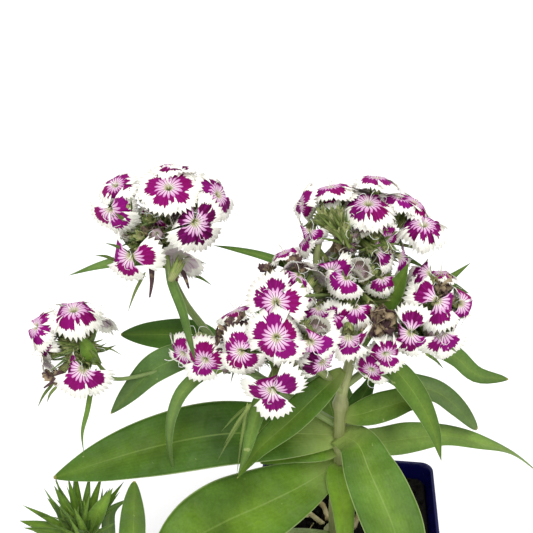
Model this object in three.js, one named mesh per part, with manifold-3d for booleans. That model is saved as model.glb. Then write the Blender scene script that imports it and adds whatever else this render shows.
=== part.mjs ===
// A sweet william (Dianthus barbatus) in a square nursery pot.
// Millimetres, +Z up, the origin in the middle of the pot's underside, the plant's front towards -Y.
//
// The plant is a set of sweeps along curves. Pieces are placed one after another, and each new piece
// is cut back by a small clearance wherever it would run into a piece that stands there already.
import * as THREE from 'three';
import { mergeVertices } from 'three/addons/utils/BufferGeometryUtils.js';
import Module from 'manifold-3d';

const wasm = await Module();
wasm.setup();

// ---------------------------------------------------------------- driving dimensions
const POT = { width: 90, base: 64, height: 92, wall: 1.2, corner: 6, lipHeight: 9, lipOut: 1.4 };
const DRAIN = { radius: 4, offset: 17 };
const COMPOST_BELOW_RIM = 7;
const CLEARANCE = 0.3;
const LEAF_THICKNESS = 0.9;
const RIM_THICKNESS = 0.3;
const THROAT = { depth: 0.8, thickness: 1.6 };
const CALYX = { length: 13, radius: 1.5 };
const FLOWER_STALK_RADIUS = 0.8;
const HUB_RADIUS = 2.6;
const SLIVER = 0.02;

const potBlue = new THREE.MeshStandardMaterial({ color: 0x0c0a5c, roughness: 0.3, metalness: 0 });
const compostBlack = new THREE.MeshStandardMaterial({ color: 0x1d1712, roughness: 1, metalness: 0 });
const stemGreen = new THREE.MeshStandardMaterial({ color: 0x8f9560, roughness: 0.6, metalness: 0 });
const leafGreen = new THREE.MeshStandardMaterial({ color: 0x4f7c2c, roughness: 0.55, metalness: 0 });
const strawPale = new THREE.MeshStandardMaterial({ color: 0xc9c08e, roughness: 0.9, metalness: 0 });
const petalMagenta = new THREE.MeshStandardMaterial({ color: 0xb45a9c, roughness: 0.6, metalness: 0 });
const budGreen = new THREE.MeshStandardMaterial({ color: 0x4a7a30, roughness: 0.6, metalness: 0 });

// ---------------------------------------------------------------- closed surfaces from rings
const middleOf = (ring) => {
  return ring.reduce((sum, p) => sum.add(p), new THREE.Vector3()).divideScalar(ring.length);
};

// Rings of equal length are joined side by side, and the first and last are closed with a fan about
// a point: the middle of the ring, unless another point is given. The second half of the sides is
// split along the other diagonal, so that the two faces of a thin twisted blade never cross.
function loft(rings, startPoint = middleOf(rings[0]), endPoint = middleOf(rings.at(-1))) {
  const count = rings[0].length;
  const points = [...rings.flat(), startPoint, endPoint];
  const startCentre = points.length - 2;
  const endCentre = points.length - 1;
  const faces = [];
  for (let k = 0; k < count; k += 1) {
    const next = (k + 1) % count;
    const last = (rings.length - 1) * count;
    faces.push(startCentre, next, k, endCentre, last + k, last + next);
    for (let ring = 0; ring < rings.length - 1; ring += 1) {
      const a = ring * count;
      const b = a + count;
      if (k < count / 2) {
        faces.push(a + k, a + next, b + next, a + k, b + next, b + k);
      } else {
        faces.push(a + k, a + next, b + k, a + next, b + next, b + k);
      }
    }
  }
  const geometry = new THREE.BufferGeometry().setFromPoints(points);
  geometry.setIndex(faces);
  return geometry;
}

// A section is a list of [across, outwards] offsets, carried along a smooth curve through the points.
// The section's second axis leans towards the direction given as `facing`.
function sweep(points, steps, facing, sectionAt) {
  const curve = new THREE.CatmullRomCurve3(points.map((p) => new THREE.Vector3(...p)), false, 'centripetal');
  const rings = [];
  for (let step = 0; step <= steps; step += 1) {
    const t = step / steps;
    const centre = curve.getPoint(t);
    const along = curve.getTangent(t);
    const out = facing.clone().addScaledVector(along, -facing.dot(along)).normalize();
    const across = new THREE.Vector3().crossVectors(out, along);
    rings.push(sectionAt(t).map(([u, v]) => {
      return centre.clone().addScaledVector(across, u).addScaledVector(out, v);
    }));
  }
  return loft(rings);
}

function circle(radius, sides) {
  return Array.from({ length: sides }, (_, k) => {
    const angle = (2 * Math.PI * k) / sides;
    return [radius * Math.cos(angle), radius * Math.sin(angle)];
  });
}

// ---------------------------------------------------------------- solids and their places
function solidOf(geometry) {
  const bare = geometry.clone();
  bare.deleteAttribute('normal');
  bare.deleteAttribute('uv');
  const merged = mergeVertices(bare, 1e-4);
  return new wasm.Manifold(new wasm.Mesh({
    numProp: 3,
    vertProperties: new Float32Array(merged.attributes.position.array),
    triVerts: new Uint32Array(merged.index.array),
  }));
}

function meshOf(name, solid, material) {
  const data = solid.getMesh();
  const geometry = new THREE.BufferGeometry();
  geometry.setAttribute('position', new THREE.BufferAttribute(new Float32Array(data.vertProperties), 3));
  geometry.setIndex(new THREE.BufferAttribute(new Uint32Array(data.triVerts), 1));
  geometry.computeVertexNormals();
  const mesh = new THREE.Mesh(geometry, material);
  mesh.name = name;
  return mesh;
}

// Cutting can leave crumbs, and crowded petals can close in a pocket of air: both are dropped here.
function largestBody(solid) {
  return solid.decompose().sort((a, b) => b.volume() - a.volume())[0];
}

function boxesMeet(a, b) {
  const p = a.boundingBox();
  const q = b.boundingBox();
  return [0, 1, 2].every((axis) => p.min[axis] <= q.max[axis] && q.min[axis] <= p.max[axis]);
}

const plant = new THREE.Group();
plant.name = 'dianthus_in_pot';
const standing = [];

// `build(grow)` makes the piece with every surface moved out by `grow`. The piece itself is cut by the
// grown copies of the pieces that stand already, and then its own grown copy joins them.
function place(name, material, build) {
  let solid = build(0);
  for (const grown of standing) {
    if (boxesMeet(solid, grown)) {
      solid = solid.subtract(grown);
    }
  }
  plant.add(meshOf(name, largestBody(solid.simplify(SLIVER)), material));
  standing.push(build(CLEARANCE));
}

// ---------------------------------------------------------------- pot
// A square with rounded corners, at one height.
function roundedSquare(half, corner, z, cornerSteps = 4) {
  const ring = [];
  for (let quarter = 0; quarter < 4; quarter += 1) {
    const middle = new THREE.Vector3(half - corner, half - corner, z);
    for (let step = 0; step <= cornerSteps; step += 1) {
      const angle = (Math.PI / 2) * (step / cornerSteps);
      const reach = new THREE.Vector3(Math.cos(angle), Math.sin(angle), 0).multiplyScalar(corner);
      const p = middle.clone().add(reach);
      ring.push(p.applyAxisAngle(new THREE.Vector3(0, 0, 1), (quarter * Math.PI) / 2));
    }
  }
  return ring;
}

// Half the outside width of the tapered body at a height.
function potHalf(z) {
  const top = POT.width / 2 - POT.lipOut;
  return POT.base / 2 + (top - POT.base / 2) * (z / POT.height);
}

function pot(grow) {
  const lipBottom = POT.height - POT.lipHeight;
  const lip = POT.width / 2;
  const outside = [
    roundedSquare(potHalf(0) + grow, POT.corner, -grow),
    roundedSquare(potHalf(lipBottom) + grow, POT.corner, lipBottom - grow),
    roundedSquare(lip - 0.4 + grow, POT.corner, lipBottom - grow),
    roundedSquare(lip + grow, POT.corner, POT.height + grow),
  ];
  const inside = [
    roundedSquare(lip - POT.wall - 0.4 - grow, POT.corner - POT.wall, POT.height + grow),
    roundedSquare(potHalf(lipBottom) - POT.wall - grow, POT.corner - POT.wall, lipBottom - 1),
    roundedSquare(potHalf(0) - POT.wall - grow, POT.corner - POT.wall, POT.wall + grow),
  ];
  let body = solidOf(loft([...outside, ...inside]));
  for (const x of [-DRAIN.offset, DRAIN.offset]) {
    for (const y of [-DRAIN.offset, DRAIN.offset]) {
      const drill = new THREE.CylinderGeometry(DRAIN.radius, DRAIN.radius, 6, 16);
      drill.rotateX(Math.PI / 2).translate(x, y, 0);
      body = body.subtract(solidOf(drill));
    }
  }
  return body;
}

// ---------------------------------------------------------------- root crown, compost and stems
const CROWN = { x: -5, y: -3, top: POT.height - COMPOST_BELOW_RIM + 1 };

function rootCrown(grow) {
  const profile = [[0, -34], [1.5, -32], [4, -18], [6, -6], [6.5, 0], [4.5, 1.5], [0, 2]];
  const points = profile.map(([radius, z]) => {
    const wider = radius === 0 ? 0 : radius + grow;
    const end = z < -33 ? -grow : z > 1.9 ? grow : 0;
    return new THREE.Vector2(wider, z + end);
  });
  return solidOf(new THREE.LatheGeometry(points, 10).rotateX(Math.PI / 2)
    .translate(CROWN.x, CROWN.y, CROWN.top));
}

function compost(grow) {
  const top = POT.height - COMPOST_BELOW_RIM + grow;
  const floor = POT.wall + CLEARANCE - grow;
  const side = (z) => potHalf(z) - POT.wall - 2 * CLEARANCE + grow;
  const corner = POT.corner - 2 * POT.wall;
  const rings = [
    roundedSquare(side(floor), corner, floor),
    roundedSquare(side(top - 3), corner, top - 3),
    roundedSquare(side(top - 3) - 4, corner, top - 1),
    roundedSquare(side(top - 3) - 16, corner, top),
  ];
  return solidOf(loft(rings));
}

// A stem is a tube of round section that tapers and swells at its joints (a share of its length each).
function stem({ path, radii, joints = [] }) {
  const swelling = (t) => joints.reduce((sum, at) => sum + Math.exp(-(((t - at) / 0.035) ** 2)), 0);
  const steps = 3 * (path.length - 1) + 3 * joints.length;
  return (grow) => solidOf(sweep(path, steps, new THREE.Vector3(0.31, 1, 0.17), (t) => {
    const radius = THREE.MathUtils.lerp(radii[0], radii[1], t) * (1 + 0.35 * swelling(t));
    return circle(radius + grow, 7);
  }));
}

const STEMS = {
  main_stem: {
    path: [
      [-5, -3, 86], [-6, -5, 110], [-5, -7, 136], [-6, -9, 157],
      [-6, -10, 179], [-3, -6, 196], [-3, -1, 212],
    ],
    radii: [3.3, 2],
    joints: [0.44, 0.62],
  },
  left_branch: {
    path: [
      [-6, -7, 158], [-33, -7, 176], [-56, -8, 195], [-66, -9, 210],
      [-72, -10, 221], [-77, -9, 234], [-79, -7, 246],
    ],
    radii: [1.9, 1.3],
    joints: [0.33],
  },
  outer_branch: {
    path: [
      [-33, -10, 182], [-49, -15, 191], [-72, -20, 195],
      [-101, -24, 190], [-108, -19, 193], [-114, -15, 199],
    ],
    radii: [1.3, 0.9],
  },
  front_branch: {
    path: [[-6, -10, 180], [-14, -17, 194], [-24, -22, 206], [-28, -24, 213]],
    radii: [1.9, 1.4],
  },
  front_left_branch: {
    path: [[-24, -22, 206], [-34, -23, 208], [-44, -24, 209]],
    radii: [1.3, 1.1],
  },
  top_branch: {
    path: [[-3, -1, 210], [-2, 4, 222], [-1, 9, 234], [0, 12, 243]],
    radii: [1.8, 1.4],
  },
  right_branch: {
    path: [[-6, -9, 181], [5, -5, 190], [16, 0, 199], [23, 2, 207]],
    radii: [1.7, 1.3],
  },
  side_shoot_stem: {
    path: [[-8, -5, 87], [-26, -16, 99], [-58, -31, 103], [-92, -42, 103], [-114, -46, 113]],
    radii: [1.8, 1.4],
    joints: [0.55],
  },
};

const OLD_STEMS = {
  old_stem_long: [[-11, 2, 86], [-20, 9, 86.5], [-33, 17, 85.6]],
  old_stem_short: [[-9, 5, 86], [-12, 14, 86.5], [-24, 24, 86]],
  old_stem_upright: [[4, 3, 84], [9, 8, 104], [11, 10, 122], [12, 11, 138]],
};

// ---------------------------------------------------------------- flower heads
// Where the stalks of a head meet (hub), and its flowers: [x, y, z of the flower's face,
// bearing of its axis in degrees from +X, height of its axis above the horizon in degrees, width].
const HEADS = {
  left_flower_head: {
    hub: [-79, -6, 248],
    flowers: [
      [-74, -10, 270, -65, 70, 20], [-64, -15, 258, -55, -5, 23], [-97, -12, 261, -125, 0, 20],
      [-85, -21, 245, -95, -15, 22], [-92, -5, 270, -145, 40, 18], [-76, 1, 274, 80, 78, 19],
      [-56, -6, 262, -15, 10, 20], [-81, -6, 256, -90, -20, 16], [-69, -8, 240, 10, -55, 18],
      [-100, -4, 252, -160, -5, 16], [-86, 10, 263, 120, 35, 20], [-66, 9, 264, 50, 35, 20],
      [-77, 14, 250, 90, 0, 20],
    ],
  },
  outer_left_flower_head: {
    hub: [-114, -19, 203],
    flowers: [
      [-112, -24, 218, 15, 75, 25], [-123, -25, 218, -150, 72, 18], [-132, -24, 209, -145, 45, 15],
      [-129, -20, 201, -150, 10, 15], [-111, -30, 194, -80, -15, 23], [-125, -23, 195, -130, 5, 14],
      [-110, -6, 208, 70, 30, 20], [-122, -8, 206, 130, 20, 18],
    ],
  },
  front_flower_head: {
    hub: [-28, -24, 214],
    flowers: [
      [-32, -36, 241, -20, 85, 25], [-32, -44, 228, -85, 55, 21], [-44, -43, 219, -90, 0, 22],
      [-33, -48, 206, -85, 15, 23], [-17, -39, 223, -80, -10, 21], [-17, -34, 205, -30, 5, 18],
      [-3, -26, 210, -95, -25, 17], [-27, -29, 227, 5, 65, 14], [-17, -24, 222, -160, 30, 15],
      [-10, -19, 220, -90, -25, 17], [-24, -17, 233, 10, 80, 15], [-42, -12, 215, 150, 20, 18],
    ],
  },
  front_left_flower_head: {
    hub: [-44, -24, 209],
    flowers: [
      [-59, -34, 206, -100, -10, 18], [-68, -29, 207, -120, -15, 14], [-64, -25, 214, 110, 70, 13],
      [-49, -21, 225, 140, 60, 17],
    ],
  },
  top_flower_head: {
    hub: [0, 12, 245],
    flowers: [
      [1, 6, 259, -95, 70, 24], [3, 16, 263, 75, 82, 22], [-15, 10, 259, 170, 70, 21],
      [-26, 7, 255, -165, 15, 18], [17, 14, 256, 0, 65, 18], [22, 8, 249, -55, -15, 18],
      [-16, -2, 247, -80, -30, 14], [11, 5, 247, -80, -40, 15], [-32, -1, 241, 160, 60, 14],
      [-24, 1, 246, 180, 45, 14], [-6, 24, 255, 95, 40, 20], [12, 25, 252, 70, 30, 20],
      [2, 27, 240, 90, -5, 20],
    ],
  },
  middle_flower_head: {
    hub: [-3, 1, 224],
    flowers: [
      [-9, -9, 241, -25, 65, 22], [9, 1, 240, 105, 82, 18], [15, 4, 234, 10, 70, 12],
      [-12, -13, 233, 155, 80, 18], [-2, -14, 228, -85, -15, 19], [-21, -2, 235, 175, 55, 18],
      [-2, -14, 219, -90, -25, 17], [-18, 14, 228, 140, 10, 18], [4, 18, 226, 80, 0, 18],
    ],
  },
  right_flower_head: {
    hub: [24, 3, 208],
    flowers: [
      [21, -4, 230, -140, 70, 21], [28, -9, 223, -90, 0, 24], [19, -16, 217, -95, 10, 24],
      [41, 0, 214, -30, 15, 20], [35, 0, 200, -100, -30, 20], [13, -21, 201, -80, -5, 17],
      [6, -18, 194, -155, -5, 15], [31, 5, 230, 100, 75, 14], [33, 14, 220, 60, 30, 20],
      [20, 18, 214, 100, 10, 20], [40, 10, 207, 20, 0, 18],
    ],
  },
};

function axisOf(bearing, height) {
  const b = THREE.MathUtils.degToRad(bearing);
  const h = THREE.MathUtils.degToRad(height);
  return new THREE.Vector3(Math.cos(h) * Math.cos(b), Math.cos(h) * Math.sin(b), Math.sin(h));
}

// The five petals of one flower as a shallow star, facing +Z, its rim around the origin. Each petal
// gives the star one point, and the throat sinks below the rim.
function petalStar(width, grow) {
  const petals = 5;
  const rim = (z) => Array.from({ length: 2 * petals }, (_, k) => {
    const angle = (Math.PI * k) / petals;
    const radius = (width / 2) * (k % 2 ? 0.84 : 1) + grow;
    return new THREE.Vector3(radius * Math.cos(angle), radius * Math.sin(angle), z);
  });
  const half = RIM_THICKNESS / 2 + grow;
  const under = new THREE.Vector3(0, 0, -THROAT.depth - THROAT.thickness - grow);
  const over = new THREE.Vector3(0, 0, grow - THROAT.depth);
  return loft([rim(-half), rim(half)], under, over);
}

function flower([x, y, z, bearing, height, width], hub, grow) {
  const face = new THREE.Vector3(x, y, z);
  const axis = axisOf(bearing, height);
  const star = petalStar(width, grow);
  star.applyQuaternion(new THREE.Quaternion().setFromUnitVectors(new THREE.Vector3(0, 0, 1), axis));
  star.translate(x, y, z);
  const calyxEnd = face.clone().addScaledVector(axis, -CALYX.length);
  const side = Math.abs(axis.z) < 0.8 ? new THREE.Vector3(0, 0, 1) : new THREE.Vector3(1, 0, 0);
  const throat = face.clone().addScaledVector(axis, -THROAT.depth - 0.4);
  const calyx = sweep([throat.toArray(), calyxEnd.toArray()], 1, side, (t) => {
    return circle(CALYX.radius * (1 - 0.3 * t) + grow, 5);
  });
  const stalkStart = face.clone().addScaledVector(axis, 1.5 - CALYX.length);
  const stalk = sweep([stalkStart.toArray(), hub], 1, new THREE.Vector3(0.21, 0.4, 0.9), () => {
    return circle(FLOWER_STALK_RADIUS + grow, 4);
  });
  return [solidOf(star), solidOf(calyx), solidOf(stalk)];
}

function flowerHead({ hub, flowers }) {
  return (grow) => {
    const knot = new THREE.IcosahedronGeometry(HUB_RADIUS + grow, 1).translate(...hub);
    const solids = flowers.flatMap((row) => flower(row, hub, grow));
    return largestBody(wasm.Manifold.union([solidOf(knot), ...solids]).simplify(5 * SLIVER));
  };
}

// ---------------------------------------------------------------- leaves
// A leaf runs from its base to its tip. Its blade faces the direction given. It is widest at the share
// `widest` of its length, and a `fullness` below 1 makes its ends blunter. `fold` lifts its edges above
// the midrib, as a share of the half width, and `twist` turns the blade about the midrib, in degrees.
function leaf({ path, half, faces, fold = 0.25, widest = 0.39, fullness = 1, twist = 0, steps = 7 }) {
  const skew = Math.log(0.467) / Math.log(widest);
  return (grow) => solidOf(sweep(path, steps, new THREE.Vector3(...faces).normalize(), (t) => {
    const shape = Math.sin(Math.PI * (0.08 + 0.9 * t ** skew)) ** fullness;
    const edge = Math.max(half * shape, 0.5) + grow;
    const lift = fold * edge;
    const thick = LEAF_THICKNESS / 2 + grow;
    const flat = [[-edge, lift - 0.2], [0, -thick], [edge, lift - 0.2], [0, thick]];
    const cos = Math.cos(THREE.MathUtils.degToRad(twist) * t);
    const sin = Math.sin(THREE.MathUtils.degToRad(twist) * t);
    return flat.map(([u, v]) => [u * cos + v * sin, v * cos - u * sin]);
  }));
}

const UP_FRONT = [0, -0.6, 0.8];
const LEAVES = {
  leaf_low_left: {
    path: [
      [-6, -7, 153], [-30, -15, 159], [-57, -22, 162],
      [-86, -29, 158], [-107, -35, 153], [-126, -41, 148],
    ],
    half: 14, faces: UP_FRONT, fold: 0.12, widest: 0.5, fullness: 0.65,
  },
  leaf_low_front_left: {
    path: [
      [-6, -7, 136], [-21, -18, 132], [-37, -30, 131],
      [-53, -43, 132], [-66, -57, 133], [-79, -69, 119],
    ],
    half: 16.4, faces: UP_FRONT, fold: 0.12, widest: 0.6, fullness: 0.8,
  },
  leaf_low_front: {
    path: [
      [-6, -9, 155], [2, -20, 160], [7, -31, 156], [13, -41, 149],
      [18, -50, 142], [22, -60, 126], [24, -66, 110],
    ],
    half: 12.5, faces: [0.1, -0.6, 0.8], fold: 0.15, widest: 0.55, fullness: 0.6,
  },
  leaf_hanging_front: {
    path: [[-5, -8, 137], [-6, -15, 137], [-3, -24, 129], [-1, -37, 118], [1, -49, 97]],
    half: 5.2, faces: UP_FRONT,
  },
  leaf_low_right: {
    path: [
      [-5, -6, 149], [14, 5, 140], [28, 8, 141], [43, 10, 142],
      [59, 8, 141], [74, 8, 136], [91, 7, 123],
    ],
    half: 7.8, faces: UP_FRONT, fold: 0.1, widest: 0.32, twist: 60,
  },
  leaf_short_left: {
    path: [[-6, -7, 145], [-16, -10, 150], [-27, -14, 149], [-40, -19, 144]],
    half: 8.5, faces: UP_FRONT, fold: 0.1, fullness: 0.8,
  },
  leaf_short_right: {
    path: [[-5, -8, 164], [4, -9, 168], [14, -8, 172], [24, -8, 176], [34, -8, 170]],
    half: 6.6, faces: UP_FRONT, widest: 0.45, fullness: 0.8,
  },
  leaf_back_right: {
    path: [[-5, -6, 160], [1, 2, 163], [5, 7, 168], [9, 11, 178]],
    half: 4.5, faces: [0, -0.8, 0.6],
  },
  leaf_under_front_head: {
    path: [[-6, -11, 192], [-16, -23, 188], [-27, -32, 180], [-38, -41, 173], [-46, -48, 163]],
    half: 6.2, faces: UP_FRONT,
  },
  leaf_narrow_under_front_head: {
    path: [
      [-20, -20, 202], [-29, -29, 199], [-37, -36, 194],
      [-40, -42, 186], [-42, -49, 178], [-45, -52, 169],
    ],
    half: 3.4, faces: UP_FRONT,
  },
  leaf_twisted: {
    path: [
      [-55, -17, 194], [-64, -25, 195], [-70, -29, 190],
      [-74, -32, 181], [-76, -34, 168], [-75, -36, 152],
    ],
    half: 3.4, faces: [-0.4, -0.9, 0.2], widest: 0.3, twist: -50,
  },
  leaf_broad_upper_left: {
    path: [[-55, -9, 195], [-65, -6, 200], [-76, -3, 199], [-90, -1, 197], [-103, -1, 196]],
    half: 7.2, faces: UP_FRONT, fold: 0.1, widest: 0.5, fullness: 0.7,
  },
  leaf_hanging_left: {
    path: [
      [-55, -9, 195], [-64, -14, 199], [-74, -18, 198],
      [-84, -22, 194], [-93, -26, 185], [-101, -31, 177],
    ],
    half: 6.4, faces: UP_FRONT, widest: 0.5, fullness: 0.8,
  },
  leaf_hanging_right: {
    path: [
      [8, -6, 194], [14, -11, 195], [20, -14, 190],
      [27, -17, 181], [33, -21, 170], [37, -23, 157],
    ],
    half: 5.2, faces: UP_FRONT, fold: 0.12, widest: 0.42,
  },
  leaf_arched_right: {
    path: [[2, -6, 187], [12, 2, 182], [25, 8, 172], [37, 10, 167], [47, 11, 158], [57, 10, 147]],
    half: 5.4, faces: UP_FRONT, fold: 0.15, widest: 0.55, fullness: 0.5,
  },
  leaf_upper_right: {
    path: [[14, -1, 197], [22, 7, 195], [32, 11, 192], [43, 13, 185], [54, 14, 175], [68, 15, 173]],
    half: 4.8, faces: UP_FRONT, fold: 0.15, widest: 0.55, fullness: 0.6,
  },
  leaf_standing: {
    path: [[2, 4, 214], [8, -3, 221], [13, -4, 229], [17, -3, 240]],
    half: 5.4, faces: [-0.3, -0.9, 0.3],
  },
  leaf_tip_upper_right: {
    path: [[26, 5, 219], [31, 6, 225], [36, 7, 229], [43, 9, 235]],
    half: 2, faces: UP_FRONT,
  },
  leaf_tip_lower_right: {
    path: [[26, 6, 216], [30, 7, 226], [37, 8, 224], [44, 8, 221]],
    half: 2.4, faces: UP_FRONT,
  },
  leaf_above_front_head: {
    path: [[-18, 3, 226], [-31, 1, 234], [-41, 2, 237], [-52, 1, 240], [-61, 0, 242]],
    half: 1.9, faces: UP_FRONT,
  },
  leaf_left_head_side: {
    path: [[-77, -9, 236], [-86, -10, 239], [-96, -12, 239], [-105, -15, 238], [-116, -18, 235]],
    half: 2.6, faces: UP_FRONT,
  },
  leaf_left_head_hanging: {
    path: [[-78, -10, 240], [-74, -20, 237], [-68, -29, 229], [-64, -38, 223], [-61, -45, 218]],
    half: 2.7, faces: [-0.5, -0.8, 0.2], fullness: 0.7,
  },
  leaf_outer_head_hanging: {
    path: [[-108, -22, 193], [-109, -28, 186], [-111, -30, 177], [-114, -32, 166], [-114, -34, 156]],
    half: 1.5, faces: [-0.5, -0.8, 0.2],
  },
  leaf_outer_head_upright: {
    path: [[-108, -19, 193], [-108, -26, 202], [-109, -27, 208], [-111, -26, 213]],
    half: 3.2, faces: [0.2, -0.9, 0.3], widest: 0.45, fullness: 0.8,
  },
  leaf_top_head: {
    path: [[4, 10, 236], [14, 8, 237], [19, 8, 235], [26, 9, 231]],
    half: 1.5, faces: UP_FRONT,
  },
  leaf_back_low: {
    path: [[-5, -5, 140], [-10, 14, 150], [-18, 34, 152], [-28, 55, 142]],
    half: 12, faces: [0, 0.3, 0.95],
  },
  leaf_back_upper: {
    path: [[-4, -4, 190], [4, 18, 202], [12, 38, 206], [20, 56, 200]],
    half: 8, faces: [0, 0.2, 0.95],
  },
  leaf_back_left: {
    path: [[-32, -5, 178], [-36, 14, 190], [-44, 32, 194], [-54, 48, 188]],
    half: 7, faces: [0, 0.2, 0.95],
  },
  leaf_shoot_upright: {
    path: [[-92, -42, 103], [-93, -45, 115], [-91, -46, 135], [-89, -46, 155]],
    half: 5.9, faces: [0, -0.95, 0.3], widest: 0.5, fullness: 0.5,
  },
  leaf_shoot_folded: {
    path: [[-103, -44, 106], [-105, -41, 118], [-103, -40, 130], [-95, -40, 138]],
    half: 3.0, faces: [0.2, -0.95, 0.3],
  },
};

// ---------------------------------------------------------------- bud head of the side shoot
const BUD = { middle: [-115, -46, 116], radius: 5 };
const BUD_BLADES = [
  [-138, -49, 139], [-142, -47, 127], [-137, -54, 131], [-129, -44, 139], [-123, -48, 151],
  [-120, -40, 148], [-111, -38, 149], [-99, -45, 149], [-118, -36, 149], [-106, -37, 148],
  [-128, -36, 134], [-102, -58, 132],
];

function budHead(grow) {
  const knot = solidOf(new THREE.IcosahedronGeometry(BUD.radius + grow, 1).translate(...BUD.middle));
  const blades = BUD_BLADES.map((tip) => {
    const middle = BUD.middle.map((value, axis) => (value + tip[axis]) / 2 + (axis === 2 ? 2 : 0));
    return leaf({ path: [BUD.middle, middle, tip], half: 3.2, faces: [0.2, -0.9, 0.4], steps: 4 })(grow);
  });
  return wasm.Manifold.union([knot, ...blades]);
}

// ---------------------------------------------------------------- assembly
place('pot', potBlue, pot);
place('root_crown', stemGreen, rootCrown);
place('compost', compostBlack, compost);
for (const [name, row] of Object.entries(STEMS)) {
  place(name, stemGreen, stem(row));
}
for (const [name, path] of Object.entries(OLD_STEMS)) {
  place(name, strawPale, stem({ path, radii: [1.3, 1.1] }));
}
for (const [name, row] of Object.entries(HEADS)) {
  place(name, petalMagenta, flowerHead(row));
}
place('bud_head', budGreen, budHead);
for (const [name, row] of Object.entries(LEAVES)) {
  place(name, leafGreen, leaf(row));
}

export default plant;
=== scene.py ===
"""A sweet william plant in its square nursery pot, as a lesson in cells.

Every piece is a surface on a grid of two parameters, worked out with numpy:
- a blade (leaf, bract, petal) is a flat closed loop of points carried along a midrib,
- a tube (stem, flower cup, style) is a round closed loop of points carried along a path,
- a lump (crumb of compost) is a sphere whose radius is changed by random factors.
A loop has an even number of points, so its two ends are closed by a ladder of quads across the loop.
Lengths are typed in millimetres, as in the part's construction, and turned to metres by MM.
"""
import math

import bmesh
import bpy
import numpy as np
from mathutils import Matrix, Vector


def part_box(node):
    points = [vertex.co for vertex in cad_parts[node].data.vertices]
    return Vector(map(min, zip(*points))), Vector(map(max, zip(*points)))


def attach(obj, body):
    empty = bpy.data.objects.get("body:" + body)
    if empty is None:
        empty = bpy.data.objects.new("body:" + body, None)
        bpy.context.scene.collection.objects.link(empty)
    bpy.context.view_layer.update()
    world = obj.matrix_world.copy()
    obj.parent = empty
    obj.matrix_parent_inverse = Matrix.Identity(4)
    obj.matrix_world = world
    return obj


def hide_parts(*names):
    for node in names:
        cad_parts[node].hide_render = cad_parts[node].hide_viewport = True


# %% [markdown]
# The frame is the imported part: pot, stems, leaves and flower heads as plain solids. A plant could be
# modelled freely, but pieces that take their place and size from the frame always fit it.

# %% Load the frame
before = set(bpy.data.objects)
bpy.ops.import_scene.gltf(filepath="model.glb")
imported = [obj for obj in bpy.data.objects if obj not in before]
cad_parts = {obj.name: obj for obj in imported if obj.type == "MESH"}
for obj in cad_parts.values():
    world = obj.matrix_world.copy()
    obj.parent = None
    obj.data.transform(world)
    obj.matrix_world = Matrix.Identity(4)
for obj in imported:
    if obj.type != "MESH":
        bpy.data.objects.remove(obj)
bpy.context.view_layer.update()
MM = 0.001
UP = np.array([0.0, 0.0, 1.0])
random = np.random.default_rng(7)


def box_of(node):
    """Lowest and highest corner of a solid, in millimetres."""
    return [np.round(np.array(corner) / MM, 3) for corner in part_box(node)]


# %% [markdown]
# ## From grids to pieces
# A plant repeats a few shapes. They could be sculpted one by one, but a grid of points worked out with
# numpy makes them all in the same way, and each one can still differ in its numbers. A grid has its
# rows along the piece and its columns round it. Texture coordinates belong to face corners, which lets
# the last column run up to 1 where the first one starts at 0.


# %% Faces and texture coordinates of a grid
def grid_faces(rows, columns, start):
    """Quads of a tube of points: point (row, column) is start + row * columns + column, and the
    columns close on themselves. Each end is a ladder between column k and column columns - 1 - k."""
    row, column = np.meshgrid(np.arange(rows - 1), np.arange(columns), indexing="ij")
    here = row * columns + column
    beside = row * columns + (column + 1) % columns
    side = np.stack([here, beside, beside + columns, here + columns], -1).reshape(-1, 4)
    k = np.arange(columns // 2 - 1)
    rung = np.stack([k, columns - 1 - k, columns - 2 - k, k + 1], -1)
    last = (rows - 1) * columns
    faces = np.concatenate([side, rung, rung[:, ::-1] + last])
    corner_column = np.concatenate([
        np.stack([column, column + 1, column + 1, column], -1).reshape(-1, 4), rung, rung[:, ::-1]])
    corner_row = np.concatenate([
        np.stack([row, row, row + 1, row + 1], -1).reshape(-1, 4),
        np.zeros_like(rung), np.full_like(rung, rows - 1)])
    return faces + start, corner_row, corner_column


def even_grid(points, tone):
    """A grid whose texture coordinates run evenly round each row and from the first row to the last."""
    rows, columns = points.shape[:2]
    round_it, lengthwise = np.linspace(0, 1, columns + 1), np.linspace(0, 1, rows)
    along, across = np.meshgrid(lengthwise, round_it, indexing="ij")
    return points, across, along, {"tone": tone}


print("a tube of 3 rings of 4 points has", len(grid_faces(3, 4, 0)[0]), "faces")
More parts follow.
